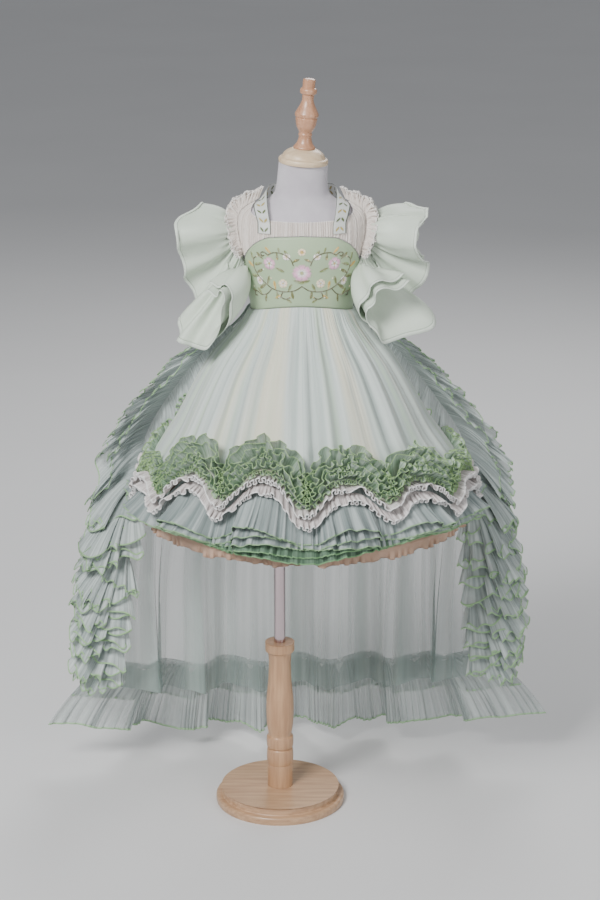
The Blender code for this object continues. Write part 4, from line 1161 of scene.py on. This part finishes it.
YOKE_PLEAT = 0.0010
YOKE_CRIMP = 0.00035
yoke_net = tulle("cream_tulle", ((0.72, 0.62, 0.55), (0.90, 0.85, 0.79)), (0.90, 0.87, 0.83),
                 (0.72, 0.98), 500.0)
for part, (start, end) in SPANS.items():
    columns = 700 if part == "front" else 350
    turn = np.linspace(0, 1, columns)
    angle = np.radians(start + slack + (end - start - 2 * slack) * turn)
    share = np.linspace(0, 1, 18)[:, None]
    low, high = by_angle(YOKE_BOTTOM, angle) + 3 * SEAM, by_angle(NECKLINE, angle)
    height = high + (low - high) * share ** 1.3
    pleat = np.sin(uneven(turn, columns // 9, 90 + abs(start), 0.6)) * sway(turn, 19, 91, 0.4, 1.2)
    crimp = np.sin(30 * share + 7 * np.sin(2 * math.pi * 11 * turn)) * YOKE_CRIMP
    lift = yoke_lift(angle) + YOKE_PLEAT * pleat + crimp
    # Painted shade darkens the pleats' valleys.
    panel = Strip(over(BODY, angle, height, lift), hem=np.minimum(30.0, (high - height) * 1000 + 0.2),
                  fold_shade=0.5 - 0.5 * pleat + 0 * share)
    cloth(f"yoke_{part}", [panel], yoke_net, shaped=True)

# The armhole frills. Short strips of cream tulle with rippled edges, sewn along each armhole from
# the bodice's corner over the shoulder. Three stand outwards, and two puff up over the yoke.
ARMHOLE_ROWS = (
    # how far in from the armhole's edge, outwards, upwards, depth, waves
    (0.002, 1.00, 0.15, 0.023, 23), (0.005, 0.75, 0.65, 0.022, 25), (0.008, 0.30, 0.95, 0.019, 27),
    (0.012, -0.45, 0.90, 0.018, 29), (0.018, -0.90, 0.55, 0.019, 27),
)
ARMHOLE_FROM = 66.0
ARMHOLE_SPAN = 48.0
SIDES = (("right", 1), ("left", -1))
for name, side in SIDES:
    strips = []
    for rank, (inwards, outwards, upwards, depth, count) in enumerate(ARMHOLE_ROWS):
        turn = np.linspace(0, 1, 281)
        go = turn if side < 0 else 1 - turn
        degrees = ARMHOLE_FROM + ARMHOLE_SPAN * go
        angle = np.radians(side * degrees)
        z = YOKE_BOTTOM("z", degrees) + inwards
        seam = over(BODY, angle, z, yoke_lift(angle) + WALL + SEAM)
        off = 2 * go - 1
        puff = outward(BODY, angle, z)
        armhole = unit(np.stack([side * 0.30 + 0 * go, 0.90 * off, -0.4 + 0.3 * np.abs(off)], axis=-1))
        fall = unit(armhole * outwards + puff * upwards)
        along = unit(np.gradient(seam, axis=0))
        fade = np.sin(math.pi * np.clip(go * 0.92 + 0.04, 0, 1)) ** 0.35
        long = depth * fade * sway(turn, 9, rank, 0.85, 1.1)
        strips.append(ruffle(seam, fall, unit(np.cross(along, fall)), long,
                             uneven(turn, count, 100 + rank, 0.5), 0.0030 * fade, 0.50, rows=6))
    cloth(f"armhole_frill_{name}", strips, yoke_net)

# The halter ribbon. White organza with dark green woven edges. It leaves the bodice's neckline,
# passes the shoulders and runs behind the neck. Pairs of olive and gold leaves are sewn on it.
RIBBON_LIFT = 0.0052
RIBBON_WIDTH = 0.024
RIBBON_WALL = 0.0004
RIBBON_ON_YOKE = ((35.5, 1.0010), (35.8, 1.0090), (36.4, 1.0160))
RIBBON_FREE = (
    ((0.0630, -0.0480, 1.0310), (0.86, 0.45, -0.06)),
    ((0.0655, -0.0280, 1.0450), (0.82, 0.30, -0.30)),
    ((0.0610, 0.0000, 1.0530), (0.50, 0.08, -0.84)),
    ((0.0490, 0.0360, 1.0520), (0.16, 0.10, -0.97)),
    ((0.0250, 0.0520, 1.0480), (0.03, 0.06, -1.00)),
    ((0.0, 0.0560, 1.0470), (0.0, 0.05, -1.00)),
)
half = []
for degrees, z in RIBBON_ON_YOKE:
    reach = RIBBON_WIDTH / 2 / float(BODY("wide", z))
    half.append(over(BODY, math.radians(degrees) + reach * np.array([-1.0, 0.0, 1.0]), z + np.zeros(3),
                     RIBBON_LIFT + np.zeros(3)))
for middle, width in RIBBON_FREE:
    width = np.array(width) / np.linalg.norm(width) * RIBBON_WIDTH / 2
    half.append(np.array(middle) + np.array([GOWN_X, 0.0, 0.0]) + width * np.array([[-1.0], [0.0], [1.0]]))
half = np.array(half)
mirrored = half * [-1.0, 1.0, 1.0] + [2 * GOWN_X, 0.0, 0.0]
route = np.concatenate([mirrored, half[-2::-1]])
path = through(route, np.linspace(0, 1, 141))
left, middle, right = path[:, 0], path[:, 1], path[:, 2]
bow = middle - (left + right) / 2
across = np.linspace(0, 2, 9)
ribbon_grid = np.stack([left + (right - left) * k / 2 + bow * (1 - (k - 1) ** 2) for k in across])
organza = Finish("ribbon_organza", {"Roughness": 0.45, "Sheen Weight": 0.3})
place = organza.space("UV")
along_ribbon, across_ribbon = place.part("X"), place.part("Y")
green_edge = 1 - across_ribbon.rise(0.0012, 0.0018) * (1 - across_ribbon.rise(0.0224, 0.0230))
# A leaf on each side of the middle at each step: the distance from its oblique midrib.
LEAF_STEP = 0.0150
RIBBON_MIDDLE = 0.0121
step = (along_ribbon * (1 / LEAF_STEP)).maths("FRACT")
off_middle = (across_ribbon - RIBBON_MIDDLE).maths("ABSOLUTE")
rib = (step * LEAF_STEP - off_middle * 0.85 - 0.0030).maths("ABSOLUTE")
reach = off_middle.rise(0.0004, 0.0020) * (1 - off_middle.rise(0.0060, 0.0076))
leaf = 1 - (rib - reach * 0.0021).rise(-0.0002, 0.0003)
second = (along_ribbon * (1 / (2 * LEAF_STEP))).maths("FRACT").rise(0.49, 0.51)
sprig = organza.blend(second, (0.10, 0.135, 0.045), (0.42, 0.33, 0.10))
woven = organza.noise(organza.space("UV", (1500.0, 1500.0, 1.0)), 1.0, 1.0)
sewn_leaf = leaf * reach.rise(0.05, 0.2)
leafy = organza.blend(sewn_leaf, (0.83, 0.86, 0.82), sprig)
marked = green_edge.maths("MAXIMUM", sewn_leaf)
organza.show({
    "Base Color": organza.blend(green_edge, leafy, (0.045, 0.085, 0.045)),
    "Alpha": marked.maths("MAXIMUM", woven * 0.25 + 0.50),
    "Normal": organza.relief(woven + leaf * 2, 0.00010),
})
cloth("ribbon", [Strip(ribbon_grid[::-1])], organza,
      RIBBON_WALL, node="neck_ribbon")

# The sleeve flounces. Two layers of stiff mint taffeta on each armhole, gathered at the root.
# They fall in a lower and an upper flute with a clean-cut edge.
SLEEVE = Table(
    "t root left_x left_y left_z left_swell right_x right_y right_z right_swell",
    (0.00, 0.00, 0.148, -0.075, 0.922, 0.006, 0.163, -0.070, 0.937, 0.004),
    (0.05, 0.02, 0.126, -0.085, 0.926, 0.010, 0.138, -0.085, 0.935, 0.008),
    (0.10, 0.04, 0.112, -0.085, 0.902, 0.016, 0.110, -0.090, 0.921, 0.010),
    (0.15, 0.06, 0.111, -0.075, 0.870, 0.020, 0.095, -0.085, 0.895, 0.012),
    (0.20, 0.08, 0.124, -0.060, 0.838, 0.020, 0.103, -0.070, 0.855, 0.016),
    (0.25, 0.10, 0.142, -0.050, 0.825, 0.014, 0.125, -0.058, 0.837, 0.014),
    (0.30, 0.12, 0.166, -0.040, 0.829, 0.010, 0.157, -0.045, 0.845, 0.010),
    (0.35, 0.15, 0.184, -0.030, 0.836, 0.006, 0.194, -0.030, 0.853, 0.006),
    (0.40, 0.17, 0.173, -0.015, 0.861, 0.004, 0.175, -0.010, 0.878, 0.004),
    (0.45, 0.20, 0.153, 0.000, 0.873, 0.004, 0.152, 0.005, 0.884, 0.004),
    (0.50, 0.23, 0.166, 0.005, 0.900, 0.000, 0.176, 0.008, 0.906, 0.000),
    (0.55, 0.27, 0.183, 0.000, 0.928, -0.004, 0.196, 0.000, 0.943, -0.004),
    (0.60, 0.31, 0.185, -0.015, 0.953, -0.010, 0.190, -0.020, 0.967, -0.008),
    (0.65, 0.35, 0.193, -0.035, 0.982, -0.012, 0.176, -0.040, 0.983, -0.012),
    (0.70, 0.39, 0.196, -0.035, 1.006, -0.014, 0.178, -0.035, 1.000, -0.014),
    (0.75, 0.43, 0.189, -0.020, 1.016, -0.014, 0.194, -0.015, 1.007, -0.016),
    (0.80, 0.48, 0.163, 0.005, 1.022, -0.012, 0.195, 0.005, 1.023, -0.016),
    (0.85, 0.56, 0.160, 0.035, 1.012, -0.008, 0.165, 0.035, 1.015, -0.010),
    (0.90, 0.70, 0.185, 0.050, 0.975, 0.000, 0.185, 0.050, 0.975, 0.000),
    (0.95, 0.85, 0.165, 0.058, 0.910, 0.010, 0.165, 0.058, 0.910, 0.010),
    (1.00, 1.00, 0.115, 0.048, 0.880, 0.010, 0.115, 0.048, 0.880, 0.010),
)
# The seam along the armhole: its first place and its length in degrees, its height and its rise.
SLEEVE_SEAM_FROM = 70.0
SLEEVE_SEAM_SPAN = 40.0
SLEEVE_SEAM_Z = 0.942
SLEEVE_SEAM_RISE = 0.056
SLEEVE_WALL = 0.0008
SLEEVE_FLUTE = 0.0062
SLEEVE_GATHER = 0.0028
SLEEVE_LAYERS = {
    # first and last share of the way to the edge, in the lower and in the upper flute, and how far
    # in the layer lies at its root and at its edge
    "outer": ((0.0, 1.0), (0.0, 1.0), 0.0, 0.0),
    "inner": ((0.24, 1.12), (0.02, 1.09), 0.0030, 0.0100),
}
taffeta = Finish("mint_taffeta", {"Sheen Weight": 0.2, "Sheen Roughness": 0.3})
crossgrain = taffeta.noise(taffeta.space("UV", (120.0, 1900.0, 1.0)), 1.0, 2.0)
cloudy = taffeta.noise(taffeta.space("Object"), 16.0)
crumple = taffeta.noise(taffeta.space("UV", (34.0, 13.0, 1.0)), 1.0, 3.0)
from_edge = taffeta.mark("hem")
stitch_line = from_edge.rise(4.4, 4.9) * (1 - from_edge.rise(5.3, 5.8))
turned_in = 1 - from_edge.rise(4.6, 5.2)
silk = taffeta.blend(cloudy * 0.6 + crossgrain * 0.4, (0.56, 0.65, 0.53), (0.72, 0.79, 0.69))
hemmed = taffeta.blend(turned_in * 0.5, silk, (0.80, 0.86, 0.78))
taffeta.show({
    "Base Color": taffeta.blend(stitch_line * 0.6, hemmed, (0.44, 0.55, 0.42)),
    "Roughness": crossgrain * 0.15 + 0.46,
    "Normal": taffeta.relief(crossgrain * 0.12 - stitch_line + turned_in * 0.8 + crumple * 3.0, 0.0006),
})
for name, side in SIDES:
    def plain(t, w):
        """The flounce without its swell; t runs along it and w from its root to its edge."""
        along_seam = SLEEVE("root", t)
        angle = np.radians(side * (SLEEVE_SEAM_FROM + SLEEVE_SEAM_SPAN * along_seam))
        z = SLEEVE_SEAM_Z + SLEEVE_SEAM_RISE * np.sin(math.pi * along_seam)
        root = over(BODY, angle, z, YOKE_LIFT + SEAM)
        x, y, z = (SLEEVE(f"{name}_{axis}", t) for axis in "xyz")
        edge = np.stack([GOWN_X + side * x, y, z], axis=-1)
        return root + (edge - root) * w[..., None]

    def normal_of(surface, t, w):
        """Normals of one of the flounce's surfaces, outwards, away from its ends and root."""
        return facing(surface, np.clip(t, 0.02, 0.98), np.maximum(w, 0.05), 0.019) * side

    def swollen(t, w):
        bulge = SLEEVE(f"{name}_swell", t) * np.sin(math.pi * np.minimum(w, 1.0))
        return plain(t, w) + normal_of(plain, t, w) * bulge[..., None]

    for layer, (lower, upper, gap_root, gap_edge) in SLEEVE_LAYERS.items():
        turn = np.linspace(0, 1, 121)
        t = np.broadcast_to(turn if side < 0 else 1 - turn, (22, 121))
        lobe = np.clip((t - 0.40) / 0.20, 0, 1)
        first, last = (low + (high - low) * lobe for low, high in zip(lower, upper))
        w = first + (last - first) * np.linspace(0, 1, 22)[:, None]
        near_root = np.exp(-((w - 0.12) / 0.26) ** 2)
        gathers = np.sin(uneven(turn, 30, 130 + side)) * SLEEVE_GATHER * near_root
        flute = np.sin(uneven(turn, 10, 140 + side, 0.8) + 0.8 * w)
        crisp = np.abs(flute) ** 0.7 * np.sign(flute)
        gathers = gathers + SLEEVE_FLUTE * crisp * np.clip(w, 0, 1) ** 0.7
        inset = gap_root + (gap_edge - gap_root) * w
        grid = swollen(t, w) + normal_of(swollen, t, w) * (gathers - inset)[..., None]
        rim = measured(grid)[1]
        sleeve = Strip(grid, hem=(rim[-1] - rim)[:, None] * 1000)
        cloth(f"sleeve_{name}_{layer}", [sleeve], taffeta,
              SLEEVE_WALL, shaped=True)

# The train's panel. Sheer dark tulle, gathered into the waist seam behind the side seams. It lies
# over the skirt's back and then hangs free in soft folds, with a fine rolled edge at each side.
TRAIN_X = 0.028
TRAIN_FREE_Z = 0.56
TRAIN_FOOT_Z = 0.110
TRAIN_FOOT_RISE = 0.070
TRAIN_FOOT_SKEW = 0.012
TRAIN_FOLD = 0.024
TRAIN_FOLDS = 6
PANEL_GATHER = 0.0010
PANEL_FOLD = 0.0055
TRAIN = Table(
    "z      axis     wide    front   back    edge",
    (TRAIN_FOOT_Z, TRAIN_X, 0.3020, 0.2400, 0.2320, 110),
    (0.300, TRAIN_X, 0.3020, 0.2500, 0.2380, 110),
    (0.450, 0.034, 0.3040, 0.2620, 0.2500, 112),
    (0.540, GOWN_X, 0.3080, 0.2700, 0.2640, 116),
    (0.600, 0.040, 0.3060, 0.2700, 0.2640, 119),
    (0.640, 0.039, 0.2880, 0.2500, 0.2440, 119),
    (0.690, GOWN_X, 0.2480, 0.2070, 0.2060, 116),
    (0.740, GOWN_X, 0.2050, 0.1660, 0.1650, 111),
    (0.790, GOWN_X, 0.1620, 0.1300, 0.1310, 106),
    (0.835, GOWN_X, 0.1210, 0.0980, 0.1000, 101),
    (0.862, GOWN_X, 0.1012, 0.0822, 0.0832, 98),
    (WAIST_Z, GOWN_X, 0.0886, 0.0722, 0.0684, 96),
)


def train_angle(u, z):
    """Angles round the gown of the panel's points."""
    edge = np.radians(TRAIN("edge", z))
    return edge + (2 * math.pi - 2 * edge) * u


def train_free(z):
    """0 where the panel lies on the skirt, rising to 1 at its foot."""
    return np.clip((TRAIN_FREE_Z - z) / (TRAIN_FREE_Z - TRAIN_FOOT_Z), 0, 1)


def on_train(u, z, finer=0.0):
    """Points of the train's panel; u runs along it from its +X edge, finer lifts its cloth."""
    u, z = np.broadcast_arrays(np.asarray(u, float), np.asarray(z, float))
    free = train_free(z)
    off = 2 * u - 1
    height = z + (TRAIN_FOOT_RISE * off ** 2 - TRAIN_FOOT_SKEW * off) * free
    fold = np.cos(2 * math.pi * TRAIN_FOLDS * u) * TRAIN_FOLD * free
    return over(TRAIN, train_angle(u, z), height, fold + finer)


u = np.linspace(0, 1, 301)
levels = np.linspace(WAIST_Z, TRAIN_FOOT_Z, 70)[:, None]
free = train_free(levels)
at_waist = PANEL_GATHER * np.sin(uneven(u, 60, 150)) * (1 - free)
gathers = at_waist + PANEL_FOLD * free ** 0.7 * np.sin(uneven(u, 21, 151))
# Painted shade darkens the valleys of the gathers and folds.
panel = Strip(on_train(u, levels, gathers), hem=np.minimum(u, 1 - u) * 900,
              fold_shade=np.clip(0.5 - gathers * 90, 0, 1))
panel_net = tulle("train_tulle", ((0.17, 0.25, 0.225), (0.40, 0.49, 0.455)), (0.30, 0.44, 0.27),
                  (0.34, 0.74), 34.0, 1.6)
cloth("train_panel", [panel], panel_net, shaped=True)

# The train's foot. Two tiers of blue-green tulle flounce, pleated finely into the panel's lower
# edge, the upper shorter. They flare into bells under the panel's folds and at its corners.
TRAIN_FLARE = 0.80
BELL = 0.11
SMALL_BELLS = 16
TIERS = {
    # height of the seam, length, off the panel, lean, depth and phase of the small bells, pleats
    "lower": (0.155, 0.130, 0.0034, 0.16, 0.08, 0.0, 120),
    "upper": (0.165, 0.078, 0.0036, 0.36, 0.10, 2.0, 112),
}
tier_net = tulle("flounce_tulle", ((0.34, 0.40, 0.39), (0.62, 0.68, 0.66)), (0.36, 0.56, 0.32),
                 (0.50, 0.86), 120.0, 2.6)
for name, (seam_z, length, root, lean, wave, phase, pleats) in TIERS.items():
    u = np.linspace(0, 1, 1201)
    seam = on_train(u, seam_z)
    out = unit((seam - [TRAIN_X, 0.0, 0.0]) * [1.0, 1.0, 0.0])
    corner = TRAIN_FLARE * np.abs(2 * u - 1) ** 3
    bells = BELL * np.cos(2 * math.pi * TRAIN_FOLDS * u) * (1 - np.abs(2 * u - 1) ** 4)
    small_bells = wave * np.cos(2 * math.pi * SMALL_BELLS * u + phase) * sway(u, 9, 155, 0.3, 1.3)
    swell = lean + corner + bells + small_bells
    long = length * sway(u, 12, 156 + pleats, 0.94, 1.00) * (1 + 0.35 * bells)
    tier = ruffle(seam + out * root, -UP, out, long,
                  uneven(u, pleats, 160 + pleats, 0.5), sway(u, 60, pleats, 0.0010, 0.0052), 0.35,
                  swell * length, rows=8, roll=0.0007, power=0.9, bend=0.78 - 0.24 * corner)
    cloth(f"train_flounce_{name}", [tier], tier_net)

# The train's cascades. Wide strips of green-edged tulle, gathered down each front edge of the
# train. Over the skirt they droop outwards in soft pleats, and below it they swing to and fro and
# hang in flutes, one over the other like a jabot.
CASCADE_TOP_Z = 0.842
CASCADE_FOOT_Z = 0.188
CASCADE = Table(
    "z width sink",
    (CASCADE_FOOT_Z, 0.064, 0.046), (0.24, 0.085, 0.044), (0.32, 0.092, 0.046), (0.45, 0.094, 0.046),
    (0.54, 0.088, 0.040), (0.60, 0.074, 0.030), (0.70, 0.060, 0.018), (0.78, 0.050, 0.012),
    (CASCADE_TOP_Z, 0.022, 0.004),
)
CASCADE_STRIPS = {
    # over the skirt: share of the width, degrees ahead; the same below it; lag of the folds
    "outer": ((1.20, 0.0, 0.84, 24.0, 0.9), (0.86, 22.0, 0.98, 10.0, 0.45)),
    "inner": ((1.04, -18.0, 1.04, -8.0, 0.0), (0.56, 112.0, 0.70, 56.0, 0.2)),
}
# In degrees: how far the strips turn ahead over the skirt and further below it, and how far their
# folds swing to each side there.
CASCADE_TURN, TURN_BELOW = 24, 16
CASCADE_SWING, SWING_BELOW = 9, 33
CASCADE_DIP = math.radians(20)
CASCADE_LOOPS = 54
cascade_net = tulle("garland_tulle", ((0.37, 0.44, 0.43), (0.64, 0.71, 0.69)), (0.36, 0.57, 0.30),
                    (0.60, 0.90), 220.0, 1.3)
# The columns lie closer together below the skirt, where the cloth turns most.
go = np.linspace(0, 1, 4001)
height = CASCADE_FOOT_Z + (CASCADE_TOP_Z - CASCADE_FOOT_Z) * go[1:]
pace = np.append(0.0, np.cumsum(1 + 1.6 * np.clip((0.62 - height) / 0.12, 0, 1)))
go = np.interp(np.linspace(0, pace[-1], 1101), pace, go)
for name, side in SIDES:
    for layer, rows_of_cloth in CASCADE_STRIPS.items():
        strips = []
        for rank, (wide, ahead_by, wide_below, ahead_below, lag) in enumerate(rows_of_cloth):
            up = go if side < 0 else go[::-1]
            z = CASCADE_FOOT_Z + (CASCADE_TOP_Z - CASCADE_FOOT_Z) * up
            edge_u = np.full_like(z, 0.0 if side > 0 else 1.0)
            root = on_train(edge_u, z)
            out = unit(outward(TRAIN, train_angle(edge_u, z), z) * [1.0, 1.0, 0.35])
            ahead = unit((root - on_train(edge_u + 0.02 * side, z)) * [1.0, 1.0, 0.0])
            root = root + ahead * (WALL + 4 * SEAM + (0.0008 if layer == "outer" else -0.0008))
            low = np.clip((0.60 - z) / 0.10, 0, 1)
            wide = wide + (wide_below - wide) * low
            ahead_by = ahead_by + (ahead_below - ahead_by) * low
            width = CASCADE("width", z) * wide * sway(up, 16, 170 + side, 0.90, 1.10)
            folds = uneven(up, 15, 180 + side, 0.5) + lag
            swing = (CASCADE_SWING + SWING_BELOW * low) * np.sin(folds)
            tilt = np.radians(CASCADE_TURN + TURN_BELOW * low + ahead_by + swing)[:, None]
            fall = unit(towards(towards(out, ahead, tilt), -UP, CASCADE_DIP))
            normal = towards(ahead, -out, tilt)
            loops = uneven(up, CASCADE_LOOPS, 190 + rank + side, 0.7)
            strips.append(ruffle(root, fall, normal, width * (1 + 0.05 * np.sin(loops + 0.6)), loops,
                                 0.0024 + 0.036 * width, 0.85, rows=7, roll=0.0008, power=1.4,
                                 sink=CASCADE("sink", z) * wide, finer=0.22))
        cloth(f"cascade_{name}_{layer}", strips, cascade_net, shaped=True,
              node=f"train_cascade_{name}_{layer}")
